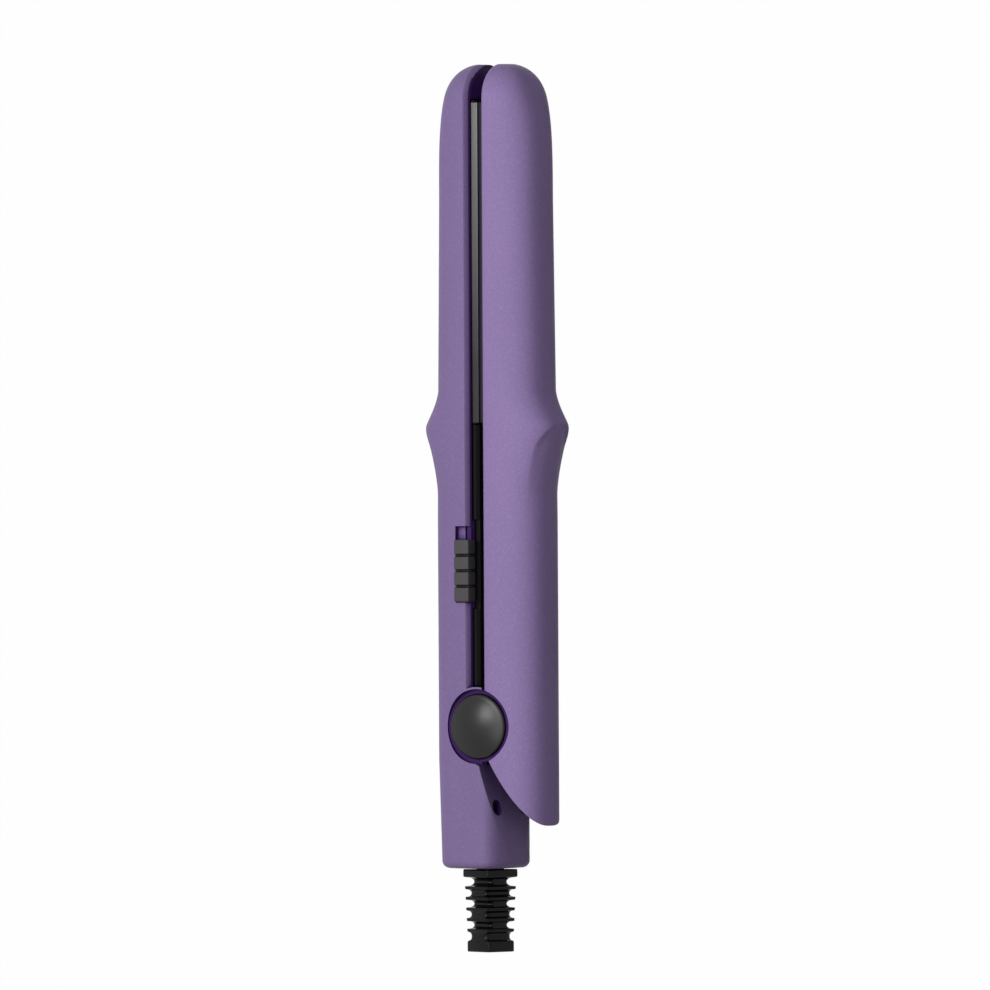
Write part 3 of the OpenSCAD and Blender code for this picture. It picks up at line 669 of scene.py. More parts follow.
def painted_crevice_shade_group():
    """Paints shade into a colour where the surface lies deep between others, by ambient occlusion.
    """
    group, entry, end = shader_group(
        "Crevice shade",
        {
            "Colour": (0.3, 0.2, 0.4, 1),
            "Deep Colour": (0.05, 0.03, 0.08, 1),
            "Reach": 0.012,
            "Closed": 0.35,
            "Open": 0.9,
        },
        ["Colour"],
    )
    reach = {"Distance": entry["Reach"]}
    room = place(group, "ShaderNodeAmbientOcclusion", reach, samples=8).outputs["AO"]
    open_part = from_range(
        group, room, entry["Closed"], entry["Open"], interpolation_type="SMOOTHSTEP"
    )
    # Painted shade: the darker colour is mixed in where little room is open round the surface.
    shade = mixed(group, open_part, entry["Deep Colour"], entry["Colour"])
    feed(group, end.inputs["Colour"], shade)
    return group


def painted_reflection_group():
    """A plate's painted reflection: its colour fades to a darker one from Start to Full, which lie
    along Y.
    """
    group, entry, end = shader_group(
        "Heat tint",
        {
            "Colour": (0.3, 0.3, 0.3, 1),
            "Tint Colour": (0.1, 0.1, 0.1, 1),
            "Start": 0.15,
            "Full": 0.09,
        },
        ["Colour"],
    )
    parts = place(group, "ShaderNodeSeparateXYZ", {"Vector": own_place(group)})
    # Painted reflection: the plate turns darker from Start toward Full, that is toward the hinge.
    along = from_range(group, parts.outputs["Y"], entry["Start"], entry["Full"])
    faded_reflection = mixed(group, along, entry["Colour"], entry["Tint Colour"])
    feed(group, end.inputs["Colour"], faded_reflection)
    return group


def grain_group():
    """Height of a moulded grain and the roughness that handling leaves on it."""
    group, entry, end = shader_group(
        "Moulded grain",
        {"Scale": 3000.0, "Roughness": 0.4, "Handling": 0.06},
        ["Height", "Roughness"],
    )
    where = own_place(group)
    palm = noise(group, where, 45.0, 4.0)
    feed(group, end.inputs["Height"], noise(group, where, entry["Scale"], 2.0))
    handled = about(group, entry["Roughness"], entry["Handling"], palm, 0.35, 0.65)
    feed(group, end.inputs["Roughness"], handled)
    return group


def drawn_group():
    """Fine lines that drawing or brushing leaves along Y on metal."""
    group, entry, end = shader_group(
        "Drawn lines",
        {"Roughness": 0.3, "Swing": 0.1, "Scale": 900.0},
        ["Height", "Roughness"],
    )
    lines = noise(group, stretched(group, own_place(group), 0.02), entry["Scale"], 4.0)
    feed(group, end.inputs["Height"], lines)
    rough = about(group, entry["Roughness"], entry["Swing"], lines, 0.0, 1.0)
    feed(group, end.inputs["Roughness"], rough)
    return group


GROUPS = {
    "Pearl flow": pearl_group,
    "Crevice shade": painted_crevice_shade_group,
    "Heat tint": painted_reflection_group,
    "Moulded grain": grain_group,
    "Drawn lines": drawn_group,
}


def group_node(tree, name, inputs):
    """The named group in a material, built the first time it is used."""
    group = bpy.data.node_groups.get(name) or GROUPS[name]()
    return place(tree, "ShaderNodeGroup", inputs, node_tree=group)


# ---- Materials -------------------------------------------------------------------------


def new_material(name, metallic=0.0, specular=0.5):
    material = bpy.data.materials.new(name)
    material.use_nodes = True
    shader = material.node_tree.nodes["Principled BSDF"]
    shader.inputs["Metallic"].default_value = metallic
    shader.inputs["Specular IOR Level"].default_value = specular
    return material, shader


def pearl_inputs(base, lighter, flake, flow):
    """A colour with a lighter flake, and how strongly flake and flow marks show."""
    return {
        "Colour": (*base, 1),
        "Flake Colour": (*[min(1.0, part * lighter) for part in base], 1),
        "Flake Amount": flake,
        "Flow Amount": flow,
    }


def surface(name, pearl, shade, texture, depth, edge_r, **basics):
    """A finish from a pearl, a painted shade or a painted reflection over it where given, a
    texture and softly rounded edges.

    Shade and texture are each a group's name and inputs; depth is that of the texture.
    """
    material, shader = new_material(name, **basics)
    tree = material.node_tree
    colour = group_node(tree, "Pearl flow", pearl).outputs["Colour"]
    if shade:
        colour = group_node(tree, shade[0], {"Colour": colour, **shade[1]}).outputs["Colour"]
    relief = group_node(tree, *texture).outputs
    soft = place(tree, "ShaderNodeBevel", {"Radius": edge_r}, samples=6)
    bump = {"Strength": 1.0, "Distance": depth, "Height": relief["Height"]}
    bump["Normal"] = soft.outputs["Normal"]
    feed(tree, shader.inputs["Base Color"], colour)
    feed(tree, shader.inputs["Roughness"], relief["Roughness"])
    feed(tree, shader.inputs["Normal"], place(tree, "ShaderNodeBump", bump).outputs["Normal"])
    return material


def pearly_plastic(name, base, deep):
    """The arms: pearly purple plastic with a satin skin, with painted shade in its gaps."""
    return surface(
        name,
        pearl_inputs(base, 1.6, 0.25, 0.03),
        # Painted shade: the deep colour is mixed in where the arm lies between other faces.
        ("Crevice shade", {"Deep Colour": (*deep, 1)}),
        ("Moulded grain", {"Scale": 2400.0, "Roughness": 0.42, "Handling": 0.04}),
        0.004 * MM,
        0.25 * MM,
        specular=0.06,
    )


def moulded_plastic(name, base, roughness, scale=1800.0, depth=0.01, specular=0.5, deep=None):
    """Plain moulded plastic or rubber with a grain, with painted shade in its gaps if a colour is
    given.
    """
    shade = ("Crevice shade", {"Deep Colour": (*deep, 1), "Reach": 2 * MM}) if deep else None
    return surface(
        name,
        pearl_inputs(base, 1.5, 0.15, 0.08),
        shade,
        ("Moulded grain", {"Scale": scale, "Roughness": roughness, "Handling": 0.06}),
        depth * MM,
        0.2 * MM,
        specular=specular,
    )


def drawn_metal(name, base, roughness, tint=None):
    """Metal with fine lines along Y, and a painted reflection that fades along Y if a darker
    colour is given.
    """
    return surface(
        name,
        pearl_inputs(base, 1.2, 0.1, 0.05),
        ("Heat tint", {"Tint Colour": (*tint, 1)}) if tint else None,
        ("Drawn lines", {"Roughness": roughness, "Swing": 0.08}),
        0.004 * MM,
        0.1 * MM,
        metallic=1.0,
    )


def finish_of(builder, name, *values, **named):
    """The material of that name, made the first time it is asked for."""
    return bpy.data.materials.get(name) or builder(name, *values, **named)


# Limits of the faces that take the painted shade of the seam and the knob's track.
SEAM_FACING = 0.85  # how squarely a face of the seam looks across it
SEAM_REACH = 2.4 * MM
TRACK_LEVEL = 8.6 * MM  # the track's walls end this far from the middle plane
TRACK_REACH = 3.5 * MM


def paint_inside_shade(piece, side):
    """Paint shade on the faces in the seam, the knob's track and the caps' grooves: they take a
    second, darker material.
    """
    form = bpy.context.scene.crimper_arms
    levels = HingeLevels()
    knob_low, knob_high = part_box("switch_knob")
    mesh = piece.data
    mesh.materials.append(finish_of(pearly_plastic, "inside_plastic", form.inside, form.deep))
    for face in mesh.polygons:
        middle = face.center
        depth = abs(middle.z - MID_Z)
        corners = [mesh.vertices[i].co for i in face.vertices]
        by_cap = all(math.hypot(at.x, at.y) < levels.lip_r + HAIR for at in corners)
        on_seat = abs(depth - levels.seat) < HAIR
        on_groove_wall = abs(face.normal.z) < 0.5 and depth > levels.seat
        above_hinge = middle.y > levels.groove_r
        in_seam = side * face.normal.x > SEAM_FACING and abs(middle.x) < SEAM_REACH
        by_knob = knob_low.y - 2 * MM < middle.y < knob_high.y + 5 * MM
        beside_seam = all(abs(at.x) < TRACK_REACH for at in corners)
        in_track = by_knob and depth < TRACK_LEVEL and beside_seam
        in_groove = by_cap and (on_seat or on_groove_wall)
        # These faces take the second, painted-shade material.
        if in_groove or above_hinge and (in_seam or in_track):
            face.material_index = 1


# ---- The two arms ----------------------------------------------------------------------

EDGE_STEPS = 8
CROWN_STEPS = 96
NOSE_PACKING = 1.9  # over 1, the nose's stations crowd toward the tip
RIM_PACKING = 1.6  # over 1, the rim's stations crowd toward the tail's end
SLANT_STEP = 1.5 * MM  # over which the housing opens past its slanted face
CLAMP_BOSS_R = 2.5 * MM
CLAMP_HEAD_R = 1.95 * MM
CLAMP_BORE_R = 1.2 * MM
SWIVEL_BORE_R = 3.55 * MM
END_WALL = 2.2 * MM  # of the tail, round the swivel bore
CUT_START = (3.2 * MM, -7.6 * MM)  # the lever's oblique tail cut, as X and Y
CUT_BEND = (8.2 * MM, -16.8 * MM)
LEVER_ROOT_X = 12.6 * MM  # how far the lever's ears run into its crown
LEVER_WEB_X = 13.6 * MM
LEVER_WEB_TOP_X = 10.9 * MM
LEVER_WEB_STEP = 2.5 * MM  # height at which the lever's web starts to lean in


def arm_stations(form):
    """Places along Y, closer together where the outline bends."""
    nose_start = TIP_Y - form.nose_l
    flare_low = form.flare_y - form.flare_grip_l
    flare_high = form.flare_y + form.flare_tip_l
    nose = [nose_start + form.nose_l * (1 - (1 - t) ** NOSE_PACKING) for t in spread(0, 1, 44)]
    return (
        [flare_low - 6 * MM]
        + spread(flare_low, flare_high, 60)
        + spread(flare_high + 2 * MM, nose_start - 2 * MM, 12)
        + nose
    )


def tail_stations(form):
    rim = [TAIL_Y + ArmCurves.RIM_R * t**RIM_PACKING for t in spread(0, 1, 8)]
    face = spread(TAIL_Y + ArmCurves.RIM_R + 0.5 * MM, -form.slant_y, 30)
    return rim + face + [-form.slant_y + SLANT_STEP]


def hollow_stations(form):
    return spread(TIP_Y - form.nose_l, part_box("main_holder")[1].y - 1.3 * MM, 6)


def scooped_ring(curves, y, outline):
    """The outline at y, with the thumb scoop sunk into its crown."""
    return [(x - (curves.scoop(y, z) if x > 0 else 0.0), y, z) for x, z in outline]


def main_outside(form):
    curves = ArmCurves(form)
    rings = []
    for y in tail_stations(form) + arm_stations(form):
        rim = curves.rim(y) if y < 0 else 0.0
        half_t = curves.tail_thickness(y) if y < 0 else curves.thickness(y) + curves.flare(y)
        half_w = HALF_WIDTH if y < 0 else curves.width(y)
        edge = curves.half_seam
        if curves.past_slant(y):
            edge = -curves.slant(y) + rim
        outline = curves.section(
            half_t - rim,
            half_w - rim,
            edge,
            curves.housing_seam,
            form.tail_in_t - rim,
            EDGE_STEPS,
            CROWN_STEPS,
        )
        rings.append(scooped_ring(curves, y, outline))
    return loft("main_outside", rings)


def lever_outside(form):
    curves = ArmCurves(form)
    rings = []
    for y in [LEVER_TAIL_Y - MM] + spread(-20 * MM, 0, 4) + arm_stations(form):
        outline = curves.section(
            curves.thickness(y) + curves.flare(y),
            curves.width(y),
            curves.half_seam,
            curves.lever_seam,
            MM,
            EDGE_STEPS,
            CROWN_STEPS,
        )
        rings.append(scooped_ring(curves, y, outline))
    return loft("lever_outside", rings)


def arm_hollow(form, stations):
    """The hollow of an arm, which leaves the flare and the tip thick."""
    curves = ArmCurves(form)
    rings = []
    for y in stations:
        half_t = curves.tail_thickness(y) if y < 0 else curves.thickness(y)
        edge = curves.half_seam - 0.8 * MM
        if curves.past_slant(y):
            edge = form.wall - curves.slant(y)
        outline = curves.section(
            half_t - form.wall,
            curves.width(y) - form.wall,
            edge,
            (0.5 * MM, 0.5 * MM, 1),
            form.tail_in_t - form.wall,
            4,
            40,
        )
        rings.append([(x, y, z) for x, z in outline])
    return loft("hollow", rings)


def disc(radius, low, high, steps=128):
    return prism("disc", circle_points(radius, steps), low, high)


def rod_x(y, z, radius, low, high):
    outline = [(y + a, z + b) for a, b in circle_points(radius, 48)]
    return prism("rod", outline, low, high, axis="X")


def both_sides(make, *sizes, **named):
    """The mesh that make gives with these sizes, and its mirror image below the middle."""
    return [make(*sizes, **named), mirrored(make(*sizes, **named), "Z")]


class HingeLevels:
    """Radii and levels round the hinge, from the middle plane outward."""

    def __init__(self):
        form = bpy.context.scene.crimper_hinge
        low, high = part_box("hinge_cap_upper")
        self.cap_r = (high.x - low.x) / 2
        self.top = high.z - MID_Z
        self.seat = self.top - form.seat
        self.ear_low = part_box("hinge_washers")[1].z - MID_Z + HAIR
        self.washer_low = self.ear_low - 0.55 * MM
        self.groove_r = self.cap_r + form.groove
        self.ear_r = self.groove_r - form.ear_gap
        self.lip_r = self.groove_r + 0.5 * MM
        self.lip_low = HALF_WIDTH - 1.8 * MM
        self.pin_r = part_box("hinge_pin")[1].x
        self.lever_ear_r = 8.0 * MM
        self.lever_ear_low = self.washer_low - 2.15 * MM
        self.lever_ear_top = self.lever_ear_low + 2.1 * MM

    def pin_hole(self):
        return disc(self.pin_r, -BEYOND, BEYOND, steps=48)


class SwitchTrack:
    """Places of the switch's track, before the housing is mirrored to its own side."""

    PLAY = 0.2 * MM
    WALL = 1.4 * MM
    TRAVEL = 3.2 * MM
    FLOOR_T = 1.5 * MM
    STEM_HALF = 0.8 * MM  # half the width of the stem's slot
    STEM_REACH = 2 * MM  # half the length of that slot, without the travel
    GUIDE_W = 0.5 * MM
    GUIDE_H = 0.7 * MM

    def __init__(self):
        low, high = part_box("switch_knob")
        self.floor_z = high.z - MID_Z - 2.2 * MM
        self.outer = -low.x + self.PLAY
        self.near = low.y - self.PLAY
        self.far = high.y + self.TRAVEL + self.PLAY
        self.stem_x = -low.x - 1.2 * MM
        self.stem_y = (low.y + high.y) / 2
        self.guide_x = -high.x + 1.8 * MM

    def floor(self, half_seam):
        """The shelf under the knob, thinner toward the seam."""
        bottom, top = self.floor_z - self.FLOOR_T, self.floor_z + self.PLAY
        outline = [
            (half_seam, bottom),
            (self.outer + self.WALL, bottom),
            (self.outer + self.WALL, top),
            (half_seam + 1.3 * MM, top),
            (half_seam, self.floor_z - 1.0 * MM),
        ]
        return prism("floor", outline, self.near - self.WALL, self.far + self.WALL, axis="Y")

    def cuts(self):
        """The open track, the slot for the knob's stem and the groove that guides the knob."""
        over = self.floor_z + MM
        slot_near = self.stem_y - self.STEM_REACH
        slot_far = self.stem_y + self.STEM_REACH + self.TRAVEL
        return [
            box_solid(
                "track", (-4 * MM, self.near, self.floor_z), (self.outer, self.far, BEYOND)
            ),
            box_solid(
                "stem_slot",
                (self.stem_x - self.STEM_HALF, slot_near, self.floor_z - 2.5 * MM),
                (self.stem_x + self.STEM_HALF, slot_far, over),
            ),
            box_solid(
                "guide",
                (self.guide_x, self.near, self.floor_z - self.GUIDE_H),
                (self.guide_x + self.GUIDE_W, self.far, over),
            ),
        ]


def groove_lip(levels, half_seam):
    """Carries the wall of a cap's groove on across the seam."""
    ear_gap = levels.groove_r - levels.ear_r
    near, far = ear_gap - half_seam, half_seam + ear_gap + 1.0 * MM
    start, end = math.acos(far / levels.lip_r), math.acos(near / levels.lip_r)
    arc = [
        (levels.lip_r * math.cos(a), levels.lip_r * math.sin(a)) for a in spread(start, end, 24)
    ]
    return prism("lip", [(near, 0), (far, 0)] + arc, levels.lip_low, HALF_WIDTH - 0.1 * MM)


def main_arm_mesh(form):
    """The housing: outer skin, hollow, ears, switch track and the tail's details."""
    levels = HingeLevels()
    track = SwitchTrack()
    half_seam = form.seam_gap / 2
    slant_end = -form.slant_y + SLANT_STEP
    rooms = [TAIL_Y + END_WALL, -27 * MM, -20 * MM, -14 * MM, -form.slant_y, slant_end, 0]
    hollow = arm_hollow(form, rooms + hollow_stations(form))
    shell = combined(main_outside(form), [hollow], "DIFFERENCE")

    clamp_low, clamp_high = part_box("clamp_screws")
    clamp = ((clamp_low.y + clamp_high.y) / 2, clamp_high.z - MID_Z - 1.8 * MM)
    ear = (levels.ear_r, levels.ear_low, levels.seat)
    root = (half_seam, -levels.ear_r, levels.ear_low)
    web = (-form.slant_x, -form.slant_y - 1.5 * MM, levels.ear_low)
    solids = (
        both_sides(disc, *ear)
        + both_sides(box_solid, "root", root, (half_seam + 5 * MM, levels.ear_r, levels.seat))
        + both_sides(box_solid, "web", web, (4 * MM, 0, levels.seat))
        + both_sides(groove_lip, levels, half_seam)
        + both_sides(rod_x, *clamp, CLAMP_BOSS_R, -1.8 * MM, 0.5 * MM)
        + [track.floor(half_seam)]
    )
    shell = combined(shell, solids, "UNION")

    sleeve_low, sleeve_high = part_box("strain_relief")
    sleeve_x = -(sleeve_low.x + sleeve_high.x) / 2
    bore = [(sleeve_x + a, b) for a, b in circle_points(SWIVEL_BORE_R, 64)]
    cuts = (
        both_sides(disc, levels.groove_r, levels.seat, BEYOND)
        + both_sides(rod_x, *clamp, CLAMP_HEAD_R, -12 * MM, -0.9 * MM)
        + both_sides(rod_x, *clamp, CLAMP_BORE_R, -2 * MM, 9 * MM)
        + track.cuts()
        + [prism("swivel", bore, TAIL_Y - MM, TAIL_Y + 3 * MM, axis="Y"), levels.pin_hole()]
    )
    return combined(shell, cuts, "DIFFERENCE")


def tail_cutter(form):
    """Cuts the lever's oblique tail, along a quadratic Bezier curve."""
    start = Vector(CUT_START)
    bend = Vector(CUT_BEND)
    end = Vector((form.grip_t + 0.4 * MM, LEVER_TAIL_Y - 0.5 * MM))
    curve = [quadratic(start, bend, end, t) for t in spread(0, 1, 40)]
    far = form.grip_t + 5 * MM
    below = LEVER_TAIL_Y - 9 * MM
    outline = [(-MM, CUT_START[1])] + [(point.x, point.y) for point in curve]
    outline += [(far, LEVER_TAIL_Y - 1.2 * MM), (far, below), (-MM, below)]
    return prism("tail_cut", outline, -30 * MM, 30 * MM)


def lever_arm_mesh(form):
    """The lever: outer skin, hollow, ears and the oblique tail."""
    levels = HingeLevels()
    rooms = [LEVER_TAIL_Y - 2 * MM, 0] + hollow_stations(form)
    ear_rooms = both_sides(disc, levels.groove_r, levels.washer_low, BEYOND)
    shell = combined(lever_outside(form), [arm_hollow(form, rooms)] + ear_rooms, "DIFFERENCE")

    ear_r, low, top = levels.lever_ear_r, levels.lever_ear_low, levels.lever_ear_top
    web_top = levels.lip_low + 0.3 * MM
    web = [
        (levels.lip_r, low),
        (LEVER_WEB_X, low),
        (LEVER_WEB_X, low + LEVER_WEB_STEP),
        (LEVER_WEB_TOP_X, web_top),
        (levels.lip_r, web_top),
    ]
    solids = (
        both_sides(disc, ear_r, low, top)
        + both_sides(box_solid, "arm", (0, -ear_r, low), (LEVER_ROOT_X, ear_r, top))
        + both_sides(prism, "web", web, -ear_r, ear_r, axis="Y")
    )
    shell = combined(shell, solids, "UNION")
    return combined(shell, [tail_cutter(form), levels.pin_hole()], "DIFFERENCE")


class CRIMPER_OT_arms(bpy.types.Operator):
    """Build the two moulded arms"""

    bl_idname = "crimper.arms"
    bl_label = "Arms"

    def execute(self, context):
        form = context.scene.crimper_arms
        # The housing's purple is a shaded copy and the lever's a lit copy of one plastic: painted
        # shade and painted light.
        arms = (
            ("housing", 1, mirrored(main_arm_mesh(form), "X"), "main_shell", form.housing_shade),
            ("lever", -1, lever_arm_mesh(form), "lever_shell", form.lever_shade),
        )
        for body, side, mesh, node, shade in arms:
            finish = finish_of(pearly_plastic, f"{body}_plastic", shade, form.deep)
            arm = add_piece(f"{body}_arm", mesh, body, finish, node, "shell", sharp=32)
            paint_inside_shade(arm, side)
        return {"FINISHED"}


# ---- Hinge caps ------------------------------------------------------------------------


def cap_profile(form, levels):
    """Half section of a domed cap, from the middle of its underside to that of its face."""
    radius, edge = levels.cap_r, form.edge_r
    edge_turn = 0.94 * math.pi / 2  # the edge stops where the dome takes over
    dome_steps = 12
    points = [(0, levels.seat), (radius * 0.5, levels.seat), (radius, levels.seat)]
    rim_z = levels.top - form.dome - edge
    for angle in spread(0, edge_turn, 8):
        points.append((radius - edge + edge * math.cos(angle), rim_z + edge * math.sin(angle)))
    start_r, start_z = points[-1]
    for k in range(1, dome_steps):
        r = start_r * (1 - k / dome_steps)
        points.append((r, levels.top - (levels.top - start_z) * (r / start_r) ** 2))
    return points + [(0, levels.top)]


class CRIMPER_OT_hinge_caps(bpy.types.Operator):
    """Build the two round hinge caps"""

    bl_idname = "crimper.hinge_caps"
    bl_label = "Hinge caps"

    def execute(self, context):
        form = context.scene.crimper_hinge
        profile = cap_profile(form, HingeLevels())
        finish = finish_of(
            moulded_plastic, "cap_black", form.cap_black, 0.3, depth=0.002, specular=0.34
        )
        for node, below in (("hinge_cap_upper", False), ("hinge_cap_lower", True)):
            mesh = turned("cap", profile)
            if below:
                mirrored(mesh, "Z")
            add_piece(f"{node}_face", mesh, "housing", finish, node, "dark_plastic", sharp=40)
        return {"FINISHED"}


# ---- Plates ----------------------------------------------------------------------------


def plate_outline(form, node, phase):
    """Section of a plate: the wavy face, then its back, at positive distances from the seam."""
    low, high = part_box(node)
    half = (high.z - low.z) / 2
    reach = max(abs(low.x), abs(high.x))
    steps = form.waves * 24
    face = []
    for part in spread(0, 1, steps):
        wave = phase * form.wave_h / 2 * math.sin(2 * math.pi * form.waves * part)
        face.append((form.gap / 2 + wave, blend(-half, half, part)))
    rail_in, rail_out = 5.0 * MM, 5.8 * MM
    back = [
        (form.plate_t, half),
        (form.plate_t, rail_out),
        (reach, rail_out),
        (reach, rail_in),
        (form.plate_t, rail_in),
    ]
    return face + back + [(x, -z) for x, z in reversed(back)]


class CRIMPER_OT_plates(bpy.types.Operator):
    """Build the two corrugated plates"""

    bl_idname = "crimper.plates"
    bl_label = "Plates"

    def execute(self, context):
        form = context.scene.crimper_plates
        sides = (
            ("main_plate", "housing", -1, "plate_light", form.bright, form.bright_tint),
            ("lever_plate", "lever", 1, "plate_dark", form.dark, form.dark_tint),
        )
        # Each plate's metal carries a painted reflection that darkens it toward the hinge.
        for node, body, phase, slot, base, tint in sides:
            low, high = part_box(node)
            mesh = prism(node, plate_outline(form, node, phase), low.y, high.y, axis="Y")
            if body == "housing":
                mirrored(mesh, "X")
            outward(mesh)
            finish = finish_of(drawn_metal, f"{node}_metal", base, 0.3, tint=tint)
            add_piece(f"{node}_face", mesh, body, finish, node, slot, sharp=40)
        return {"FINISHED"}


# ---- Knob ------------------------------------------------------------------------------

GROOVE_STEEP = 2.6  # slope of a grip groove's sides
END_SHRINK = 0.8  # how much of its edge's rounding the knob's end draws in


def knob_ring(form, y, low, high, dip, shrink):
    """Section of the knob at y: a rounded block with a lip toward the seam."""
    inner = -high.x + dip * 0.5 + shrink
    outer = -low.x - shrink
    lip = inner + 0.35 * MM
    top = high.z - MID_Z - dip - shrink
    foot = high.z - MID_Z - 2.1 * MM
    corners = [
        (inner, foot - form.lip_h + shrink),
        (lip, foot - form.lip_h + shrink),
        (lip, foot + shrink),
        (outer, foot + shrink),
        (outer, top),
        (inner, top),
    ]
    return [(x, y, z) for x, z in rounded_corners(corners, form.edge_r, 5)]


def groove_dip(form, low, pitch, y):
    """Depth of the grip grooves at y."""
    dip = 0.0
    for k in range(1, form.grooves + 1):
        off = abs(y - low.y - pitch * k) / (form.groove_w / 2)
        if off < 1:
            dip = form.groove_h * min(1.0, (1 - off) * GROOVE_STEEP)
    return dip


def knob_mesh(form):
    low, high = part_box("switch_knob")
    turns = spread(0, math.pi / 2, 5)
    ends = [
        (low.y + form.edge_r * (1 - math.cos(t)), form.edge_r * (1 - math.sin(t))) for t in turns
    ]
    stations = list(ends)
    pitch = (high.y - low.y) / (form.grooves + 1)
    for k in range(1, form.grooves + 1):
        middle = low.y + pitch * k
        stations += [(middle + t * form.groove_w / 2, 0.0) for t in spread(-1, 1, 12)]
    stations += [(low.y + high.y - y, shrink) for y, shrink in reversed(ends)]
    rings = []
    for y, shrink in stations:
        dip = groove_dip(form, low, pitch, y)
        rings.append(knob_ring(form, y, low, high, dip, shrink * END_SHRINK))
    block = outward(loft("knob", rings))
    stem_x = -low.x - 1.2 * MM
    stem_y = (low.y + high.y) / 2
    stem = box_solid(
        "stem",
        (stem_x - 0.6 * MM, stem_y - 1.8 * MM, low.z - MID_Z),
        (stem_x + 0.6 * MM, stem_y + 1.8 * MM, high.z - MID_Z - 1.6 * MM),
    )
    return combined(block, [stem], "UNION")


class CRIMPER_OT_knob(bpy.types.Operator):
    """Build the slide switch's knob"""

    bl_idname = "crimper.knob"
    bl_label = "Switch knob"

    def execute(self, context):
        form = context.scene.crimper_knob
        # The knob's finish paints near-black shade into its grip grooves.
        finish = finish_of(
            moulded_plastic,
            "knob_grey",
            form.knob_black,
            0.4,
            depth=0.006,
            specular=0.08,
            deep=(0.003, 0.003, 0.003),
        )
        mesh = mirrored(knob_mesh(form), "X")
        add_piece(
            "switch_knob_block", mesh, "knob", finish, "switch_knob", "dark_plastic", sharp=35
        )
        return {"FINISHED"}


# ---- Cord sleeve -----------------------------------------------------------------------


def square_ring(width, height, radius, y, steps=6):
    """A rounded rectangle across Y with a fixed number of points."""
    points = []
    for sx, sz, start in ((1, 1, 0), (-1, 1, 90), (-1, -1, 180), (1, -1, 270)):
        for k in range(steps + 1):
            angle = math.radians(start + 90 * k / steps)
            x = sx * (width / 2 - radius) + radius * math.cos(angle)
            z = sz * (height / 2 - radius) + radius * math.sin(angle)
            points.append((x, y, z))
    return points


def step_rings(width, radius, near, far, edge_r):
    """Rings of one square stage from near to far down -Y, its edges rounded."""
    rings = []
    turns = spread(0, math.pi / 2, 4)
    for edge, side, order in ((near, -1, turns), (far, 1, reversed(turns))):
        for t in order:
            wide = width - 2 * edge_r * (1 - math.sin(t))
            y = edge + side * edge_r * (1 - math.cos(t))
            rings.append(square_ring(wide, wide, radius, y))
    return rings


def waist_rings(form, wide, waist, near, far):
    """Rings of a hollow waist between two ribs, round at its root."""
    rings = []
    for t in spread(0, 1, 12):
        depth = math.sqrt(max(0.0, 1 - (2 * t - 1) ** 2)) ** 0.8
        width = blend(wide, waist[0], depth)
        height = blend(wide, waist[1], depth)
        radius = blend(form.corner_r, form.waist_r, depth)
        rings.append(square_ring(width, height, radius, blend(near, far, t)))
    return rings


def sleeve_mesh(form):
    """The whole sleeve as one skin: flange, neck, collar, ribs with waists, end and bore."""
    top = TAIL_Y - 0.3 * MM
    pitch = (form.free_l - form.collar_t - form.end_t) / (form.ribs + 1)
    neck_l = 2.6 * MM

    def round_ring(diameter, y):
        return square_ring(diameter, diameter, diameter / 2, y)

    rings = [
        round_ring(form.cord_d, top + neck_l + form.flange_t),
        round_ring(form.flange_d, top + neck_l + form.flange_t),
        round_ring(form.flange_d, top + neck_l),
        round_ring(form.neck_d, top + neck_l),
        round_ring(form.neck_d, top),
    ]
    rings += step_rings(form.collar_w, form.corner_r, top, top - form.collar_t, form.edge_r)
    for i in range(form.ribs + 1):
        down = form.collar_t + pitch * i
        near = down + (0 if i == 0 else form.rib_t / 2)
        far = down + pitch - (0 if i == form.ribs else form.rib_t / 2)
        wide = blend(form.collar_w, form.end_w, (down + pitch / 2) / form.free_l)
        waist = (form.deep_x, form.deep_z) if i % 2 == 0 else (form.flat_x, form.flat_z)
        rings += waist_rings(form, wide - 0.3 * MM, waist, top - near, top - far)
    end_top = top - form.free_l + form.end_t
    rings += step_rings(form.end_w, form.corner_r, end_top, top - form.free_l, form.edge_r)
    rings.append(round_ring(form.cord_d, top - form.free_l))
    mesh = tube("sleeve", rings)
    mesh.transform(Matrix.Rotation(form.turn, 4, "Y"))
    return outward(mesh)


class CRIMPER_OT_sleeve(bpy.types.Operator):
    """Build the square cord sleeve"""

    bl_idname = "crimper.sleeve"
    bl_label = "Cord sleeve"

    def execute(self, context):
        form = context.scene.crimper_sleeve
        low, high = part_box("strain_relief")
        finish = finish_of(
            moulded_plastic, "sleeve_rubber", form.rubber, 0.14, depth=0.004, specular=0.13
        )
        add_piece(
            "cord_sleeve",
            sleeve_mesh(form),
            "sleeve",
            finish,
            "strain_relief",
            "soft_sleeve",
            sharp=35,
            aside=(low.x + high.x) / 2,
        )
        return {"FINISHED"}


# ---- Carried-over pieces ---------------------------------------------------------------


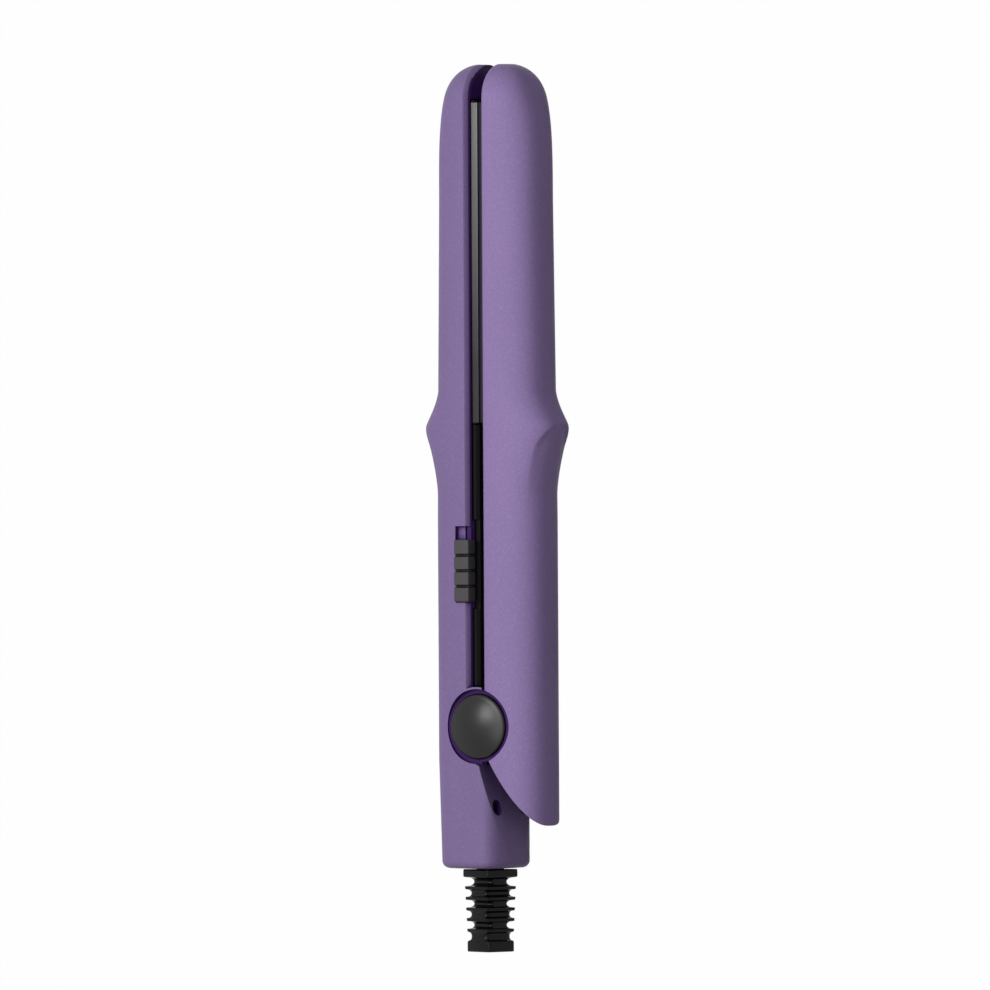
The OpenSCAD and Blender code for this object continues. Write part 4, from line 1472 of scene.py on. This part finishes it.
class CRIMPER_OT_inner_pieces(bpy.types.Operator):
    """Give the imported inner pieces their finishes"""

    bl_idname = "crimper.inner_pieces"
    bl_label = "Inner pieces"

    def execute(self, context):
        black = finish_of(moulded_plastic, "inner_black", (0.004, 0.003, 0.004), 0.5, specular=0.1)
        steel = finish_of(drawn_metal, "zinc_steel", (0.52, 0.52, 0.54), 0.32)
        # Near-black steel: painted shade for the clamp screws sunk in their holes.
        shade_steel = finish_of(drawn_metal, "blued_steel", (0.03, 0.028, 0.035), 0.4)
        finishes = {
            "cover": black,
            "holder": black,
            "clamp": black,
            "heater": finish_of(
                moulded_plastic, "heater_ceramic", (0.68, 0.58, 0.38), 0.6, 900.0, 0.02
            ),
            "pads": finish_of(
                moulded_plastic, "lead_silicone", (0.55, 0.16, 0.07), 0.55, 1200.0, 0.02
            ),
            "circuit": finish_of(moulded_plastic, "board_green", (0.02, 0.15, 0.07), 0.35),
        }
        for name, node in frame["nodes"].items():
            if node.hide_render:
                continue
            words = name.split("_")
            finish = next((finishes[w] for w in words if w in finishes), steel)
            # The clamp screws take the near-black steel, painted shade for their dark holes.
            if "screws" in words:
                finish = shade_steel if "clamp" in words else steel
            for holder in node.material_slots:
                holder.material = finish
        return {"FINISHED"}


# ---- Stage -----------------------------------------------------------------------------

SENSOR_MM = 36.0
FLOOR_HALF = 3.0


def shown_rays(tree):
    """1 for rays that show a surface: camera, glossy and transmission rays."""
    path = place(tree, "ShaderNodeLightPath").outputs
    direct = maths(tree, "MAXIMUM", path["Is Camera Ray"], path["Is Glossy Ray"])
    return maths(tree, "MAXIMUM", direct, path["Is Transmission Ray"])


def floor_material(white):
    """A white floor that still takes the object's shadow."""
    material, shader = new_material("studio_floor", specular=0.0)
    shader.inputs["Base Color"].default_value = (0.25, 0.25, 0.25, 1)
    shader.inputs["Roughness"].default_value = 0.9
    tree = material.node_tree
    glow = place(tree, "ShaderNodeEmission", {"Color": (1, 1, 1, 1)})
    part = maths(tree, "MULTIPLY", shown_rays(tree), white)
    inputs = {"Fac": part, 1: shader.outputs["BSDF"], 2: glow.outputs["Emission"]}
    mix = place(tree, "ShaderNodeMixShader", inputs)
    feed(tree, tree.nodes["Material Output"].inputs["Surface"], mix.outputs["Shader"])
    return material


def studio_world(fill):
    """Even light from all round, shown as white."""
    world = bpy.data.worlds.new("studio")
    world.use_nodes = True
    tree = world.node_tree
    light = tree.nodes["Background"]
    light.inputs["Color"].default_value = (1, 1, 1, 1)
    feed(tree, light.inputs["Strength"], from_range(tree, shown_rays(tree), 0.0, 1.0, fill))
    return world


def swung(angle):
    """Directions out to something swung about the tool's length, and to its right."""
    out = Vector((math.sin(angle), 0, math.cos(angle)))
    return out, Vector((math.cos(angle), 0, -math.sin(angle)))


def area_lamp(name, aim, swing, distance, along, size, power):
    """A lamp above the tool, swung about its length, its face across the light's way."""
    out, right = swung(swing)
    up = Vector((0, 1, 0))
    lamp = bpy.data.lights.new(name, "AREA")
    lamp.shape = "RECTANGLE"
    lamp.size, lamp.size_y = size
    lamp.energy = power
    holder = bpy.data.objects.new(name, lamp)
    turn = Matrix((right, up, out)).transposed().to_4x4()
    holder.matrix_world = Matrix.Translation(aim + out * distance + up * along) @ turn
    bpy.context.scene.collection.objects.link(holder)


def add_camera(look):
    """The camera, swung about the tool's length and slightly rolled, and the point it aims at."""
    out, right = swung(look.swing)
    up = Vector((0, 1, 0))
    aim = Vector((0, look.aim_y, MID_Z)) - right * look.aim_left
    rolled_up = up * math.cos(look.roll) + right * math.sin(look.roll)
    rolled_right = right * math.cos(look.roll) - up * math.sin(look.roll)
    data = bpy.data.cameras.new("camera")
    data.sensor_width = SENSOR_MM
    data.lens = SENSOR_MM * look.distance / look.picture
    data.clip_start, data.clip_end = 0.05, 20.0
    camera = bpy.data.objects.new("camera", data)
    turn = Matrix((rolled_right, rolled_up, out)).transposed().to_4x4()
    camera.matrix_world = Matrix.Translation(aim + out * look.distance) @ turn
    bpy.context.scene.collection.objects.link(camera)
    bpy.context.scene.camera = camera
    return aim


class CRIMPER_OT_stage(bpy.types.Operator):
    """Set up the camera, the floor and the lamps"""

    bl_idname = "crimper.stage"
    bl_label = "Stage"

    def execute(self, context):
        look = context.scene.crimper_stage
        scene = context.scene
        scene.view_settings.view_transform = "Standard"
        aim = add_camera(look)
        floor_z = CAD_BOX[0].z - HAIR
        corners = [(-1, -1), (1, -1), (1, 1), (-1, 1)]
        points = [(x * FLOOR_HALF, y * FLOOR_HALF, floor_z) for x, y in corners]
        floor_mesh = new_mesh("floor", points, [(0, 1, 2, 3)])
        floor_mesh.materials.append(floor_material(look.floor_white))
        floor = bpy.data.objects.new("floor", floor_mesh)
        scene.collection.objects.link(floor)
        scene.world = studio_world(look.fill)
        key_place = (look.key_swing, look.key_distance, look.key_y)
        side_place = (look.side_swing, look.side_distance, look.side_y)
        area_lamp("key", aim, *key_place, (look.key_w, look.key_l), look.key_power)
        area_lamp("side", aim, *side_place, (look.side_w, look.side_w), look.side_power)
        return {"FINISHED"}


# ---- Panel and run ---------------------------------------------------------------------


class CRIMPER_PT_panel(bpy.types.Panel):
    """Lists the steps that build the crimper"""

    bl_label = "Hair crimper"
    bl_idname = "CRIMPER_PT_panel"
    bl_space_type = "VIEW_3D"
    bl_region_type = "UI"
    bl_category = "Crimper"

    def draw(self, context):
        for step in STEPS:
            self.layout.operator(step.bl_idname)


STEPS = (
    CRIMPER_OT_arms,
    CRIMPER_OT_hinge_caps,
    CRIMPER_OT_plates,
    CRIMPER_OT_knob,
    CRIMPER_OT_sleeve,
    CRIMPER_OT_inner_pieces,
    CRIMPER_OT_stage,
)
FORMS = {
    "crimper_arms": CrimperArmForm,
    "crimper_hinge": CrimperHingeForm,
    "crimper_plates": CrimperPlateForm,
    "crimper_knob": CrimperKnobForm,
    "crimper_sleeve": CrimperSleeveForm,
    "crimper_stage": CrimperStageLook,
}
CLASSES = (*FORMS.values(), *STEPS, CRIMPER_PT_panel)


def register():
    for cls in CLASSES:
        bpy.utils.register_class(cls)
    for name, form in FORMS.items():
        setattr(bpy.types.Scene, name, bpy.props.PointerProperty(type=form))


def unregister():
    for name in FORMS:
        delattr(bpy.types.Scene, name)
    for cls in reversed(CLASSES):
        bpy.utils.unregister_class(cls)


def main():
    register()
    bpy.ops.crimper.arms()
    bpy.ops.crimper.hinge_caps()
    bpy.ops.crimper.plates()
    bpy.ops.crimper.knob()
    bpy.ops.crimper.sleeve()
    bpy.ops.crimper.inner_pieces()
    bpy.ops.crimper.stage()


if __name__ == "__main__":
    main()
